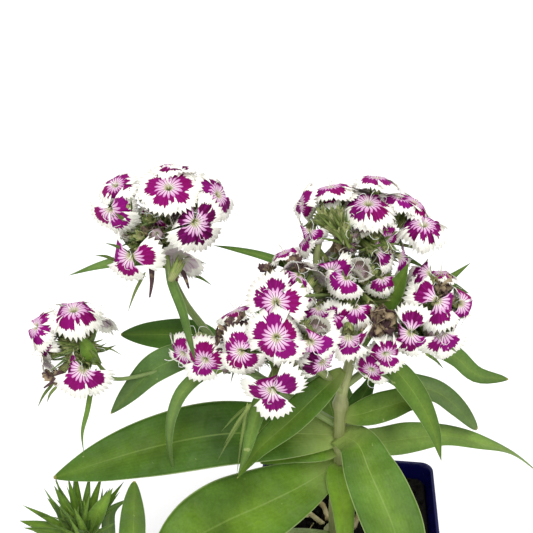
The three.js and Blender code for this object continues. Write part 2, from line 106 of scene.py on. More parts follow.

# %% [markdown]
# One mesh can hold many grids, such as all petals of a head, which keeps the list of objects short.
# Numbers stored on the points, here called marks, let one finish colour each grid in its own way. Each
# piece then says which body it rides on, which finish it has and which solid it replaces.


# %% Grids into one piece
def mesh_of(name, grids):
    """One mesh from many grids. A grid is (points, across, along, marks): points has the shape (rows,
    columns, 3) in millimetres, across and along are texture coordinates, with one column more than
    the points, and marks holds numbers for the points, by name. The mesh keeps the marks that all its
    grids have."""
    points, faces, uv, start = [], [], [], 0
    for xyz, across, along, _ in grids:
        rows, columns = xyz.shape[:2]
        quads, corner_row, corner_column = grid_faces(rows, columns, start)
        points.append(xyz.reshape(-1, 3))
        faces.append(quads)
        uv.append(np.stack([across[corner_row, corner_column], along[corner_row, corner_column]], -1))
        start += rows * columns
    mesh = bpy.data.meshes.new(name)
    mesh.from_pydata(np.concatenate(points) * MM, [], np.concatenate(faces).tolist())
    mesh.uv_layers.new(name="surface").data.foreach_set("uv", np.concatenate(uv).ravel())
    for key in sorted(set.intersection(*(set(grid[3]) for grid in grids))):
        values = [np.broadcast_to(marks[key], xyz.shape[:2]).ravel() for xyz, _, _, marks in grids]
        layer = mesh.attributes.new(key, "FLOAT", "POINT")
        layer.data.foreach_set("value", np.concatenate(values).astype(np.float32))
    return mesh


def turn_outwards(mesh):
    """Every grid is a closed shell, so Blender can tell its outside and turn all faces that way."""
    shell = bmesh.new()
    shell.from_mesh(mesh)
    bmesh.ops.recalc_face_normals(shell, faces=shell.faces)
    shell.to_mesh(mesh)
    shell.free()


def make_piece(name, grids, material, replaces=()):
    """An object made of grids, with its finish, its body and the solids it replaces."""
    mesh = mesh_of(name, grids)
    mesh.materials.append(material)
    mesh.shade_smooth()
    turn_outwards(mesh)
    piece = bpy.data.objects.new(name, mesh)
    bpy.context.collection.objects.link(piece)
    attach(piece, "root")
    if replaces:
        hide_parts(*replaces)
    print(f"{name}: {len(grids)} grids, {len(mesh.polygons)} faces")
    return piece


# %% [markdown]
# Stems and midribs bend smoothly. Bezier curves could follow them, but their handles are hard to type.
# A centripetal Catmull-Rom spline runs through the typed points themselves and makes no loops between
# them. The construction uses the same spline, so the pieces lie where their solids lie.


# %% Paths and directions
def smooth_path(points, samples):
    """Centripetal Catmull-Rom spline: knots are spaced by the square root of the chord, and each
    point is a blend of blends of four neighbours (the pyramid of Barry and Goldman)."""
    points = np.asarray(points, float)
    points = np.vstack([2 * points[0] - points[1], points, 2 * points[-1] - points[-2]])
    spans = len(points) - 3
    place = np.linspace(0, spans, samples)
    span = np.minimum(place.astype(int), spans - 1)
    p0, p1, p2, p3 = (points[span + k] for k in range(4))

    def knot(before, a, b):
        """The knot after `before`."""
        return before + np.sqrt(np.linalg.norm(b - a, axis=1, keepdims=True)) + 1e-9

    t0 = np.zeros((samples, 1))
    t1 = knot(t0, p0, p1)
    t2 = knot(t1, p1, p2)
    t3 = knot(t2, p2, p3)
    t = t1 + (t2 - t1) * (place - span)[:, None]

    def blend(a, b, ta, tb):
        """Goes in a straight line from a at ta to b at tb."""
        return a * (tb - t) / (tb - ta) + b * (t - ta) / (tb - ta)

    a1, a2, a3 = blend(p0, p1, t0, t1), blend(p1, p2, t1, t2), blend(p2, p3, t2, t3)
    return blend(blend(a1, a2, t0, t2), blend(a2, a3, t1, t3), t1, t2)


def unit(v):
    """Vectors scaled to length 1."""
    return v / np.maximum(np.linalg.norm(v, axis=-1, keepdims=True), 1e-12)


def path_sides(path, facing):
    """For each point of a path: the part of `facing` square to the path, and the direction across."""
    along = unit(np.gradient(path, axis=0))
    facing = np.broadcast_to(np.asarray(facing, float), path.shape)
    out = unit(facing - along * (facing * along).sum(1, keepdims=True))
    return out, np.cross(out, along)


def level(turn):
    """The level direction turned from +X towards +Y by an angle in radians."""
    return np.array([math.cos(turn), math.sin(turn), 0])


def direction(bearing, height):
    """The direction with a bearing from +X towards +Y and a height above the horizon, in degrees."""
    height = math.radians(height)
    return level(math.radians(bearing)) * math.cos(height) + UP * math.sin(height)


def bell(t, middle, width):
    """A bell curve: 1 at the middle and nearly 0 at twice the width from it."""
    return np.exp(-((t - middle) / width) ** 2)


print("half way between two points:", smooth_path([[0, 0, 0], [0, 0, 10]], 3)[1].round(1).tolist())

# %% [markdown]
# ## Finishes
# Petals, leaves and stems have veins and zones that run along them. A pattern in space would cut
# straight through a bent leaf, so these finishes read texture coordinates that run along and across
# each piece. Their formulas need many Math nodes. Those could be added one by one, but a formula is
# easier to read on one line, so a small class lets + - * and ** add the nodes.


# %% Adding nodes
def plug(value, socket):
    """Links a wire to an input, or sets the input to a number, a place or a colour."""
    if isinstance(value, Wire):
        value.tree.links.new(value.socket, socket)
    elif socket.type == "RGBA":
        socket.default_value = (*value, 1.0)
    else:
        socket.default_value = value


def add_node(tree, kind, inputs=None, output=0, **settings):
    """Adds a node with settings on it, and with its inputs set or linked by name or number. Returns
    one of its outputs as a wire."""
    node = tree.nodes.new(kind)
    for key, value in settings.items():
        setattr(node, key, value)
    for key, value in (inputs or {}).items():
        plug(value, node.inputs[key])
    return Wire(node.outputs[output])


class Wire:
    """What comes out of a node: a number, colour or place that differs over the surface. The signs
    + - * ** between a wire and a number or another wire add Math nodes."""

    def __init__(self, socket):
        self.socket = socket
        self.tree = socket.id_data

    def maths(self, operation, other=0.0):
        """A Math node with this wire as its first input."""
        return add_node(self.tree, "ShaderNodeMath", {0: self, 1: other}, operation=operation)

    def __add__(self, other):
        return self.maths("ADD", other)

    def __sub__(self, other):
        return self.maths("SUBTRACT", other)

    def __mul__(self, other):
        return self.maths("MULTIPLY", other)

    def __pow__(self, power):
        return self.maths("POWER", power)

    def step(self, low, high):
        """0 at low and 1 at high, with a straight slope between them and level beyond them. Low may
        be the larger number."""
        inputs = {"Value": self, "From Min": low, "From Max": high}
        return add_node(self.tree, "ShaderNodeMapRange", inputs, "Result")

    def blend(self, first, second):
        """The first colour where this number is 0 and the second where it is 1."""
        return add_node(self.tree, "ShaderNodeMix", {0: self, 6: first, 7: second}, 2,
                        data_type="RGBA", clamp_factor=True)

    def shade(self, colour):
        """The colour times this number, which lies around 1."""
        return add_node(self.tree, "ShaderNodeVectorMath", {0: colour, "Scale": self}, operation="SCALE")


# %% [markdown]
# ### Ways in and out of a finish
# All finishes start and end in the same way. They read the texture coordinates, the place in space and
# the marks, mix a few colours, and give the shader a colour and often a fine relief. A relief could be
# modelled, but veins a tenth of a millimetre deep would need millions of faces, so a Bump node tilts
# the light on them.


# %% What every finish starts and ends with
def new_material(name, roughness, **shader):
    """A material with its Principled shader. Constant numbers are set on the shader's own sockets."""
    material = bpy.data.materials.new(name)
    material.use_nodes = True
    tree = material.node_tree
    principled = tree.nodes["Principled BSDF"]
    principled.inputs["Roughness"].default_value = roughness
    for key, value in shader.items():
        principled.inputs[key.replace("_", " ")].default_value = value
    return material, tree, principled.inputs


def surface_uv(tree):
    """The piece's own texture coordinates, and their two numbers: across and along."""
    uv = add_node(tree, "ShaderNodeUVMap", uv_map="surface")
    across = add_node(tree, "ShaderNodeSeparateXYZ", {0: uv}, "X")
    along = add_node(tree, "ShaderNodeSeparateXYZ", {0: uv}, "Y")
    return uv, across, along


def mark(tree, name):
    """A number stored on the mesh points."""
    return add_node(tree, "ShaderNodeAttribute", None, "Fac", attribute_name=name)


def object_place(tree):
    """Object coordinates, for patterns that don't follow a surface."""
    return add_node(tree, "ShaderNodeTexCoord", None, "Object")


def noise(place, scale, detail):
    """Soft random numbers around 0.5."""
    inputs = {"Vector": place, "Scale": scale, "Detail": detail}
    return add_node(place.tree, "ShaderNodeTexNoise", inputs, "Fac")


def paint(colour, *coats):
    """Lays coats over a colour, each given as its share and its own colour, with the last on top."""
    for share, coat in coats:
        colour = share.blend(colour, coat)
    return colour


def relief(height, strength, depth):
    """The surface's normal, tilted by a height. The depth is in metres."""
    inputs = {"Height": height, "Strength": strength, "Distance": depth}
    return add_node(height.tree, "ShaderNodeBump", inputs)


# %% [markdown]
# ### Mottle and veins
# No real leaf or stem is of one even colour, and most have fine parallel lines. Images could show
# both, but a noise and a cosine need no files and take any scale. Several finishes use them, so each
# is a node group that is built once: a soft mottle, and lengthwise veins.


# %% Mottle and veins
def new_group(name, output, **inputs):
    """A node group with one number as output and named inputs, which are places where the value
    given is None and numbers elsewhere. Returns its tree, its inputs and its output socket."""
    tree = bpy.data.node_groups.new(name, "ShaderNodeTree")
    for key, value in inputs.items():
        kind = "NodeSocketVector" if value is None else "NodeSocketFloat"
        socket = tree.interface.new_socket(name=key, in_out="INPUT", socket_type=kind)
        if value is not None:
            socket.default_value = value
    tree.interface.new_socket(name=output, in_out="OUTPUT", socket_type="NodeSocketFloat")
    entry = tree.nodes.new("NodeGroupInput")
    given = [Wire(entry.outputs[key]) for key in inputs]
    return tree, given, tree.nodes.new("NodeGroupOutput").inputs[output]


def build_mottle():
    """Soft light and dark patches: noise at the place, centred on 1."""
    tree, (place, scale, amount), out = new_group("mottle", "Value", Place=None, Scale=60.0, Amount=0.2)
    plug((noise(place, scale, 4.0) - 0.5) * amount * 2.0 + 1.0, out)
    return tree


def build_veins():
    """Fine lines that run lengthwise: a high power of a cosine of the place across."""
    tree, (across, count, sharpness), out = new_group(
        "veins", "Mask", Across=0.0, Count=10.0, Sharpness=8.0)
    wave = (across * count * math.pi).maths("COSINE").maths("ABSOLUTE")
    plug(wave ** sharpness, out)
    return tree


def mottle(place, scale, amount):
    """The group of soft patches, placed in a material."""
    inputs = {"Place": place, "Scale": scale, "Amount": amount}
    return add_node(place.tree, "ShaderNodeGroup", inputs, node_tree=MOTTLE)


def veins(across, count, sharpness):
    """The group of fine lines, placed in a material."""
    inputs = {"Across": across, "Count": count, "Sharpness": sharpness}
    return add_node(across.tree, "ShaderNodeGroup", inputs, node_tree=VEINS)


MOTTLE = build_mottle()
VEINS = build_veins()
print("node groups:", MOTTLE.name, VEINS.name)

# %% [markdown]
# ### Petals
# A petal is white at its fringe and green in its throat, with a magenta zone between. The zone's outer
# edge is jagged along the veins, and pale streaks with round tips run into it from the throat. All of
# it depends on how far out a point lies. A picture on each petal would make them all alike, so the
# boundaries are steps along the petal, pushed in and out by noise that changes fast across and slowly
# along, and shifted by the petal's own tone. A tone above 1 marks a fading flower, which is dull olive
# grey.

# %% Petal finish
WHITE, WHITE_VEIN = (0.98, 0.97, 0.89), (0.92, 0.90, 0.81)
CRIMSON, VIOLET, MAROON = (0.205, 0.0008, 0.078), (0.225, 0.004, 0.170), (0.060, 0.0004, 0.034)
MAGENTA_VEIN, THROAT, FADED = (0.31, 0.008, 0.200), (0.50, 0.52, 0.24), (0.22, 0.21, 0.14)
STREAK, STREAK_FOOT = (0.62, 0.22, 0.54), (0.84, 0.68, 0.78)
UNDER_GREY, UNDER_MAUVE = (0.56, 0.50, 0.50), (0.40, 0.26, 0.35)
UNDER_THROAT, UNDER_FRINGE = (0.46, 0.47, 0.34), (0.76, 0.74, 0.67)
# Zones from the throat at 0 to the rim at 1: where each one starts and where it is full.
FRINGE_ZONE, STREAK_FOOT_ZONE, THROAT_ZONE = (0.71, 0.735), (0.46, 0.22), (0.25, 0.12)
STREAK_LENGTH, JAG_DEPTH, JAG_SCALE = 0.30, 0.36, (17.0, 1.2, 9.0)
PETAL_VEINS, PETAL_RIDGES = 23.0, 4.0


def jagged_noise(uv, tone):
    """Noise that changes fast across the petal and slowly along it, and differs from petal to petal."""
    shift = add_node(uv.tree, "ShaderNodeCombineXYZ", {0: tone * 37.0, 2: tone})
    moved = add_node(uv.tree, "ShaderNodeVectorMath", {0: uv, 1: shift}, operation="ADD")
    squeezed = add_node(uv.tree, "ShaderNodeVectorMath", {0: moved, 1: JAG_SCALE}, operation="MULTIPLY")
    return noise(squeezed, 1.0, 3.0)


def petal_finish():
    """White, magenta and the pale streaks, one over the other from the throat to the fringe."""
    material, tree, shader = new_material("petal", 0.7, Specular_IOR_Level=0.08)
    uv, across, along = surface_uv(tree)
    tone = mark(tree, "tone")
    jag = jagged_noise(uv, tone)
    push = (jag - 0.5) * JAG_DEPTH
    fine = veins(across, PETAL_VEINS, 3.0)
    ridges = veins(across, PETAL_RIDGES, 1.0)

    off_middle = (across * 2.0 - 1.0).maths("ABSOLUTE")
    fringe = (along + push + off_middle ** 2.5 * 0.24).step(*FRINGE_ZONE)
    streak_end = ridges * 0.17 + STREAK_LENGTH + push * 0.35
    streaks = (streak_end - along).step(0.0, 0.025) * ridges.step(0.28, 0.46)

    hue = (tone * 7.0).maths("FRACT")
    magenta = paint(CRIMSON, (hue, VIOLET), (tone.step(0.45, 0.95), MAROON),
                    (fine * jag.step(0.40, 0.62), MAGENTA_VEIN))
    pink = along.step(*STREAK_FOOT_ZONE).blend(STREAK, STREAK_FOOT)
    under = paint(UNDER_GREY, (jag.step(0.45, 0.62), UNDER_MAUVE),
                  (along.step(0.42, 0.25), UNDER_THROAT), (fringe, UNDER_FRINGE))
    colour = paint(magenta, (streaks, pink), (along.step(*THROAT_ZONE), THROAT),
                   (fringe, fine.blend(WHITE, WHITE_VEIN)),
                   (mark(tree, "under"), under), (tone.step(1.0, 1.3) * 0.6, FADED))
    plug(colour, shader["Base Color"])
    plug(relief(fine, 0.3, 0.0003), shader["Normal"])
    return material


PETAL = petal_finish()
print("petal finish:", len(PETAL.node_tree.nodes), "nodes")

# %% [markdown]
# ### Leaves
# Leaves are satin green, warmer along the midrib and cooler in patches and at the margins. They have
# fine parallel veins, soft waves, paler edges and bases and a yellowed tip. Their undersides are paler.
# A material for each leaf would be many, so two numbers on each leaf pick its green: `tone` darkens it
# and `bloom` greys it. The tones follow how light or dark each leaf looks where it stands, so they are
# partly the leaf's own green and partly painted light and shade.

# %% Leaf finish
BLOOM, VEIN, SPOT = (0.19, 0.26, 0.13), (0.24, 0.36, 0.07), (0.40, 0.45, 0.18)
WARM, COOL, EDGE = (0.260, 0.390, 0.050), (0.048, 0.125, 0.018), (0.36, 0.45, 0.18)
MIDRIB, BASE, TIP = (0.27, 0.38, 0.09), (0.34, 0.42, 0.12), (0.42, 0.36, 0.12)
UNDER, UNDER_VEIN, UNDER_MIDRIB = (0.17, 0.26, 0.09), (0.27, 0.37, 0.15), (0.36, 0.45, 0.22)
# Zones off the midrib, which is at 0 with the edges at 0.5, and zones from the base at 0 to the tip at
# 1: where each one starts and where it is full.
MIDRIB_ZONE, WARM_ZONE, COOL_ZONE, EDGE_ZONE = (0.016, 0.004), (0.22, 0.0), (0.20, 0.48), (0.478, 0.495)
MIDRIB_REACH, BASE_ZONE, TIP_ZONE = (0.95, 0.3), (0.20, 0.0), (0.985, 1.0)


def leaf_finish(name, light, dark):
    """Green by tone, with a bloom, fine veins, midrib, edges, base, tip and the paler underside."""
    material, tree, shader = new_material(name, 0.5, Specular_IOR_Level=0.18)
    _, across, along = surface_uv(tree)
    place = object_place(tree)
    off_middle = (across - 0.5).maths("ABSOLUTE")
    fine = veins(across, 18.0, 5.0)
    cloud = mottle(place, 26.0, 1.0)
    specks = mottle(place, 300.0, 1.0)
    grain = mottle(place, 900.0, 0.22)
    brightness = mottle(place, 45.0, 0.8) * grain * (along * -0.35 + 1.19)
    midrib = off_middle.step(*MIDRIB_ZONE) * along.step(*MIDRIB_REACH)
    cool = cloud.step(0.95, 1.3).maths("MAXIMUM", off_middle.step(*COOL_ZONE))

    green = paint(light, (mark(tree, "tone"), dark), (mark(tree, "bloom"), BLOOM), (fine * 0.04, VEIN),
                  (off_middle.step(*WARM_ZONE) * 0.15, WARM), (cool * 0.5, COOL),
                  (specks.step(1.40, 1.50) * 0.5, SPOT))
    under = paint(UNDER, (fine, UNDER_VEIN), (midrib * 0.8, UNDER_MIDRIB))
    colour = paint(brightness.shade(green), (midrib * 0.5, MIDRIB),
                   (off_middle.step(*EDGE_ZONE) * 0.7, EDGE), (along.step(*BASE_ZONE) * 0.8, BASE),
                   (along.step(*TIP_ZONE), TIP), (mark(tree, "under"), brightness.shade(under)))
    plug(colour, shader["Base Color"])
    plug(relief(cloud * 20.0 + (fine + grain) * 0.12, 1.0, 0.0002), shader["Normal"])
    return material


LEAF = leaf_finish("leaf", (0.200, 0.340, 0.022), (0.022, 0.070, 0.002))
BRACT = leaf_finish("bract", (0.240, 0.290, 0.085), (0.075, 0.120, 0.022))
print("leaf finish:", len(LEAF.node_tree.nodes), "nodes")

# %% [markdown]
# ### Stems and flower cups
# Stems and cups are ribbed along their length. The stems are paler at their joints, and the cups are
# yellowish at their teeth. Flat colours would look like plastic close up, so each finish mixes a second
# colour in along its ribs.


# %% Stem and cup finishes
def stem_finish():
    """Green by tone with pale lengthwise lines, and light and dark patches."""
    material, tree, shader = new_material("stem", 0.45)
    _, across, _ = surface_uv(tree)
    patches = mottle(object_place(tree), 120.0, 0.5)
    lines = veins(across, 12.0, 2.0)
    colour = paint((0.115, 0.190, 0.040), (mark(tree, "tone"), (0.29, 0.30, 0.12)),
                   (lines * 0.25, (0.36, 0.40, 0.17)))
    plug(patches.shade(colour), shader["Base Color"])
    plug(relief(lines, 0.3, 0.0002), shader["Normal"])
    return material


def cup_finish():
    """Two greens along fifteen ribs, and yellowish teeth."""
    material, tree, shader = new_material("flower_cup", 0.5)
    _, across, along = surface_uv(tree)
    ribs = veins(across, 15.0, 2.0)
    colour = paint((0.17, 0.21, 0.05), (ribs, (0.36, 0.38, 0.14)),
                   (along.step(0.80, 1.0), (0.50, 0.48, 0.26)))
    plug(colour, shader["Base Color"])
    plug(relief(ribs, 0.5, 0.0002), shader["Normal"])
    return material


STEM = stem_finish()
CUP = cup_finish()
print("stem and cup finishes:", len(STEM.node_tree.nodes), "and", len(CUP.node_tree.nodes), "nodes")

# %% [markdown]
# ### Styles, dry parts and compost
# The styles are thin, soft and almost white. Withered petals, straw and compost have no sheen and are
# made of two browns. They could have a material each, but they differ only in their colours and in the
# size of their patches, so one function makes all three.


# %% Style and dry finishes
def style_finish():
    """Almost white, with a green tinge at the foot."""
    material, tree, shader = new_material("style", 0.5, Subsurface_Weight=0.1, Subsurface_Scale=0.001)
    _, _, along = surface_uv(tree)
    plug(along.blend((0.80, 0.80, 0.66), (0.92, 0.90, 0.92)), shader["Base Color"])
    return material


def dry_finish(name, light, dark, scale):
    """Two browns mixed by coarse noise, the darker one where the tone is high, with light fibres."""
    material, tree, shader = new_material(name, 0.9, Specular_IOR_Level=0.1)
    _, across, _ = surface_uv(tree)
    coarse = noise(object_place(tree), scale, 5.0)
    by_tone = mark(tree, "tone") * 0.24 - 0.12
    fibres = veins(across, 14.0, 3.0)
    colour = paint(light, ((coarse + by_tone).step(0.42, 0.56), dark), (fibres * 0.3, light))
    plug(colour, shader["Base Color"])
    plug(relief(coarse, 0.6, 0.0005), shader["Normal"])
    return material


STYLE = style_finish()
WITHERED = dry_finish("withered", (0.36, 0.28, 0.17), (0.045, 0.014, 0.035), 330.0)
STRAW = dry_finish("straw", (0.55, 0.48, 0.28), (0.30, 0.24, 0.11), 150.0)
COMPOST = dry_finish("compost", (0.008, 0.007, 0.006), (0.002, 0.0015, 0.0012), 600.0)
print("dry finish:", len(COMPOST.node_tree.nodes), "nodes")

# %% [markdown]
# ### Pot plastic
# Only the pot is plastic: deep blue and fairly glossy. An even blue would look new and empty, so its
# colour has faint clouds and its gloss has scuffs, both from the mottle.


# %% Pot finish
def pot_finish():
    """Deep blue plastic with faint clouds in its colour and scuffs in its gloss."""
    material, tree, shader = new_material("pot_plastic", 0.2, Specular_IOR_Level=0.3)
    place = object_place(tree)
    plug(mottle(place, 30.0, 0.3).shade((0.0025, 0.0022, 0.055)), shader["Base Color"])
    plug(mottle(place, 260.0, 0.35) * 0.24, shader["Roughness"])
    return material


POT_PLASTIC = pot_finish()
print("finishes:", sorted(material.name for material in bpy.data.materials))

# %% [markdown]
# ## Blades
# A leaf is thick at its midrib and thin at its edges. A plane with a Solidify modifier would be equally
# thick all over, so a blade is a flat loop carried along the midrib: its upper face and lower face
# meet at the edges. The same function makes large leaves, bracts and awns.

# %% Blade grid
FRONT = (0, -0.6, 0.8)
ARCH_START, ARCH_SPAN, ARCH_TOP = 0.08, 0.915, 0.467


def outline(t, widest, fullness):
    """Half width along a leaf: a sine arch that is widest near the share `widest` of the length,
    raised to the power `fullness`. Below 1 its ends are blunter."""
    skew = math.log(ARCH_TOP) / math.log(widest)
    return np.maximum(np.sin(np.pi * (ARCH_START + ARCH_SPAN * t ** skew)), 0) ** fullness


def two_faces(upper, lower, along, **marks):
    """Joins the faces of a flat piece, each given from edge to edge, into one loop round it. `along`
    is their texture coordinate lengthwise, and the mark `under` is 1 on the lower face."""
    rows, columns = upper.shape[:2]
    points = np.concatenate([upper, lower[:, ::-1]], 1)
    edge_to_edge = np.linspace(0, 1, columns)
    across = np.concatenate([edge_to_edge, edge_to_edge[::-1], [0.0]])[None, :].repeat(rows, 0)
    lengthwise = np.concatenate([along, along[:, ::-1], along[:, :1]], 1)
    under = np.concatenate([np.zeros(columns), np.ones(columns)])[None, :]
    return points, across, lengthwise, {"under": under, **marks}


def blade(path, half, faces=FRONT, fold=0.25, wave=0.0, twist=0.0, tone=0.5, bloom=0.0, rows=26, columns=9,
          thickness=0.35, widest=0.39, fullness=1.0):
    """Across: half width * outline(t) * u, with t from 0 to 1 along and u from -1 to 1 across.
    Outwards: fold * |u|^1.4 lifts the edges, a sine ripples them, a narrow bell sinks the midrib, and
    the two faces part by the thickness, which is greatest at the midrib. A rib stands out below. The
    twist turns the blade about its midrib, in degrees."""
    midrib = smooth_path(path, rows)
    out, across = path_sides(midrib, faces)
    t = np.linspace(0, 1, rows)[:, None]
    u = np.linspace(-1, 1, columns)[None, :]
    turn = np.radians(twist) * t
    out, across = out * np.cos(turn) + across * np.sin(turn), across * np.cos(turn) - out * np.sin(turn)
    shape = outline(t, widest, fullness)
    edge = half * np.maximum(shape, 0.02)
    ripple = wave * np.sin(t * 17 + half + 1.3 * np.sign(u)) * u ** 2
    lift = edge * (fold * np.abs(u) ** 1.4 + ripple - 0.05 * bell(u, 0, 0.12))
    thick = thickness * (0.25 + 0.75 * (1 - u ** 2)) * (0.3 + 0.7 * shape)
    rib = 0.5 * thickness * bell(u, 0, 0.15) * (1 - t)

    def face(offset):
        """One face of the blade, moved out from its middle by the offset."""
        return (midrib[:, None] + across[:, None] * (edge * u)[..., None]
                + out[:, None] * (lift + offset)[..., None])

    return two_faces(face(thick / 2), face(-thick / 2 - rib), t.repeat(columns, 1), tone=tone, bloom=bloom)


print("points of a blade:", blade([[0, 0, 0], [0, 0, 40]], 5)[0].shape)

# %% [markdown]
# ## Tubes
# Stems, flower stalks and styles are round. A curve with a bevel could make them, but not the swollen
# joints of this plant, so they are round loops along a path whose radius is a formula.

# %% Tube grid
JOINT_SWELL, JOINT_LENGTH, JOINT_PALE_LENGTH = 0.45, 0.022, 0.03


def tube(path, radii, joints=(), columns=12, rows=None, tone=0.5):
    """The radius goes in a straight line from radii[0] to radii[1] and swells at each joint by a bell
    curve. The tone rises to 1 there. The joints are given as shares of the length."""
    rows = rows or 10 * len(path)
    centre = smooth_path(path, rows)
    chord = unit(np.asarray(path[-1], float) - np.asarray(path[0], float))
    out, across = path_sides(centre, np.eye(3)[np.abs(chord).argmin()])
    t = np.linspace(0, 1, rows)[:, None]
    radius = radii[0] + (radii[1] - radii[0]) * t
    for joint in joints:
        radius = radius * (1 + JOINT_SWELL * bell(t, joint, JOINT_LENGTH))
    angle = (np.arange(columns) + 0.5) * 2 * np.pi / columns
    points = (centre[:, None] + across[:, None] * (radius * np.cos(angle))[..., None]
              + out[:, None] * (radius * np.sin(angle))[..., None])
    near_joint = sum((bell(t, joint, JOINT_PALE_LENGTH) for joint in joints), 0 * t)
    return even_grid(points, tone + (1 - tone) * near_joint)


print("points of a tube:", tube([[0, 0, 0], [0, 0, 40]], (1, 1))[0].shape)

# %% [markdown]
# ## Pot
# A nursery pot is a thin tapered square with round corners and a band below the rim. A box with
# bevels could be hollowed, but a list of rings up the outside, over the rim and down the inside gives
# each bend its own place. Holes don't fit into rings, so a boolean cuts the four drain holes.

# %% Pot rings
pot_low, pot_high = box_of("pot")
POT = {"width": pot_high[0] - pot_low[0], "height": pot_high[2], "base": 64, "wall": 1.2, "corner": 6,
       "lip": 9, "lip_out": 1.4}


def rounded_square(half, corner, z, per_corner=9):
    """Points round a square of the given half width with round corners, at height z."""
    angle = np.linspace(0, np.pi / 2, per_corner)
    quarter = np.stack([np.cos(angle), np.sin(angle)], -1) * corner + (half - corner)
    turned = [quarter]
    for _ in range(3):
        last = turned[-1]
        turned.append(np.stack([-last[:, 1], last[:, 0]], -1))
    flat = np.concatenate(turned)
    return np.column_stack([flat, np.full(len(flat), float(z))])


def pot_half(z):
    """Half the outside width of the tapered body."""
    top = POT["width"] / 2 - POT["lip_out"]
    return POT["base"] / 2 + (top - POT["base"] / 2) * z / POT["height"]


def pot_profile():
    """Pairs of half width and height, from the middle of the base up, over and down to the floor."""
    rim, wall, half, base = POT["height"], POT["wall"], POT["width"] / 2, pot_half(0)
    band = rim - POT["lip"]
    under_base = [(base * 0.15, 0), (base * 0.6, 0), (base - 1.2, 0), (base - 0.3, 0.3)]
    outside = [(pot_half(z), z) for z in (0.9, 30, 60, band - 1)]
    step_out = [(pot_half(band), band - 0.2), (half - 0.8, band), (half - 0.4, band + 0.4)]
    lip = [(half - 0.35, rim - 6), (half - 0.1, rim - 1.0), (half - 0.1, rim - 0.3), (half - 0.5, rim)]
    over_rim = [(half - wall - 0.1, rim), (half - wall - 0.4, rim - 0.4), (half - wall - 0.6, rim - 3)]
    inside = [(pot_half(band) - wall, band - 1.5), (pot_half(60) - wall, 60), (pot_half(30) - wall, 30)]
    floor = [(pot_half(2) - wall, wall + 0.8), (base - wall - 1, wall), (base * 0.6, wall),
             (base * 0.15, wall)]
    return under_base + outside + step_out + lip + over_rim + inside + floor


def pot_grid():
    """The profile's rings, whose corners get sharper towards the middle of the base."""
    base = POT["base"] / 2
    rings = [rounded_square(half, POT["corner"] * min(1.0, half / base), z) for half, z in pot_profile()]
    return even_grid(np.stack(rings), 0.0)


pot = make_piece("pot_shell", [pot_grid()], POT_PLASTIC, ["pot"])

# %% [markdown]
# Four round holes in the base let water out. Each is cut by a bar, and the result is kept as the
# pot's own mesh, so that no modifier is left on it.

# %% Drain holes
DRAIN = {"radius": 4, "offset": 17, "depth": 6}


def drain_bar(x, y):
    """An upright bar through the base."""
    bpy.ops.mesh.primitive_cylinder_add(
        radius=DRAIN["radius"] * MM, depth=DRAIN["depth"] * MM, vertices=32, location=(x * MM, y * MM, 0))
    return bpy.context.object


def cut_drain_holes(piece):
    """Subtracts the four bars from the base and removes them."""
    offsets = (-DRAIN["offset"], DRAIN["offset"])
    bars = [drain_bar(x, y) for x in offsets for y in offsets]
    for bar in bars:
        cut = piece.modifiers.new("drain", "BOOLEAN")
        cut.object, cut.operation, cut.solver = bar, "DIFFERENCE", "EXACT"
    shown = piece.evaluated_get(bpy.context.evaluated_depsgraph_get())
    whole = bpy.data.meshes.new_from_object(shown)
    piece.modifiers.clear()
    piece.data = whole
    for bar in bars:
        bpy.data.objects.remove(bar)


cut_drain_holes(pot)
pot.data.polygons.foreach_set("use_smooth", [True] * len(pot.data.polygons))
print("pot with drain holes:", len(pot.data.polygons), "faces")

# %% [markdown]
# ## Compost
# The compost fills the pot and is crumbly on top. A displaced plane alone would look like a cloth, so
# the crumbs that catch the light are separate small lumps, each with only a few faces, and bits of
# straw lie among them.

# %% Compost block
COMPOST_TOP = box_of("compost")[1][2]
COMPOST_GAP = POT["wall"] + 0.6
COMPOST_CORNER = 5 / 42


def compost_grid():
    """The block: rings up the side, whose corners are a share of their half width, then inwards over
    the top, which rises and falls by two long crossed waves and a short slanting one."""
    side = [(pot_half(z) - COMPOST_GAP, z) for z in (1.6, 30, 60, COMPOST_TOP - 4, COMPOST_TOP - 1.5)]
    inwards = [(side[-1][0] * share, COMPOST_TOP) for share in np.linspace(0.97, 0.03, 14)]
    rings = np.stack([rounded_square(half, COMPOST_CORNER * half, z) for half, z in side + inwards])
    top = rings[len(side):]
    x, y = top[..., 0], top[..., 1]
    top[..., 2] += 0.7 * np.sin(x * 0.55) * np.cos(y * 0.47) + 0.45 * np.sin(x * 1.7 + y * 1.3) - 0.5
    return even_grid(rings, 0.5)


make_piece("compost_block", [compost_grid()], COMPOST, ["compost"])

# %% [markdown]
# Crumbs and straw lie on the block at random. Particles could scatter them, but a loop with its own
# random numbers gives the same places at each run and joins all crumbs into one piece.


# %% Crumbs and straw
def lump(centre, size, rows=4, columns=6):
    """A sphere whose radius is multiplied by random factors, so that it looks torn."""
    t = np.linspace(0.12, 0.88, rows)[:, None] * np.pi
    angle = (np.arange(columns) + 0.5) * 2 * np.pi / columns
    radius = 1 + 0.25 * random.uniform(-1, 1, (rows, columns))
    ball = np.stack([np.sin(t) * np.cos(angle), np.sin(t) * np.sin(angle),
                     np.cos(t) + 0 * angle], -1) * radius[..., None]
    return even_grid(np.asarray(centre) + ball * np.asarray(size), random.uniform(0, 1))


def scattered(count, margin):
    """Random places on the compost, clear of the pot's wall by the margin."""
    half = pot_half(COMPOST_TOP) - margin
    return random.uniform(-half, half, (count, 2))


def crumbs():
    """Small lumps with random places and sizes on the compost."""
    grids = []
    for x, y in scattered(420, 4):
        size = random.uniform(0.5, 1.7)
        grids.append(lump((x, y, COMPOST_TOP + 0.2 * size), size * random.uniform(0.7, 1.2, 3)))
    return grids


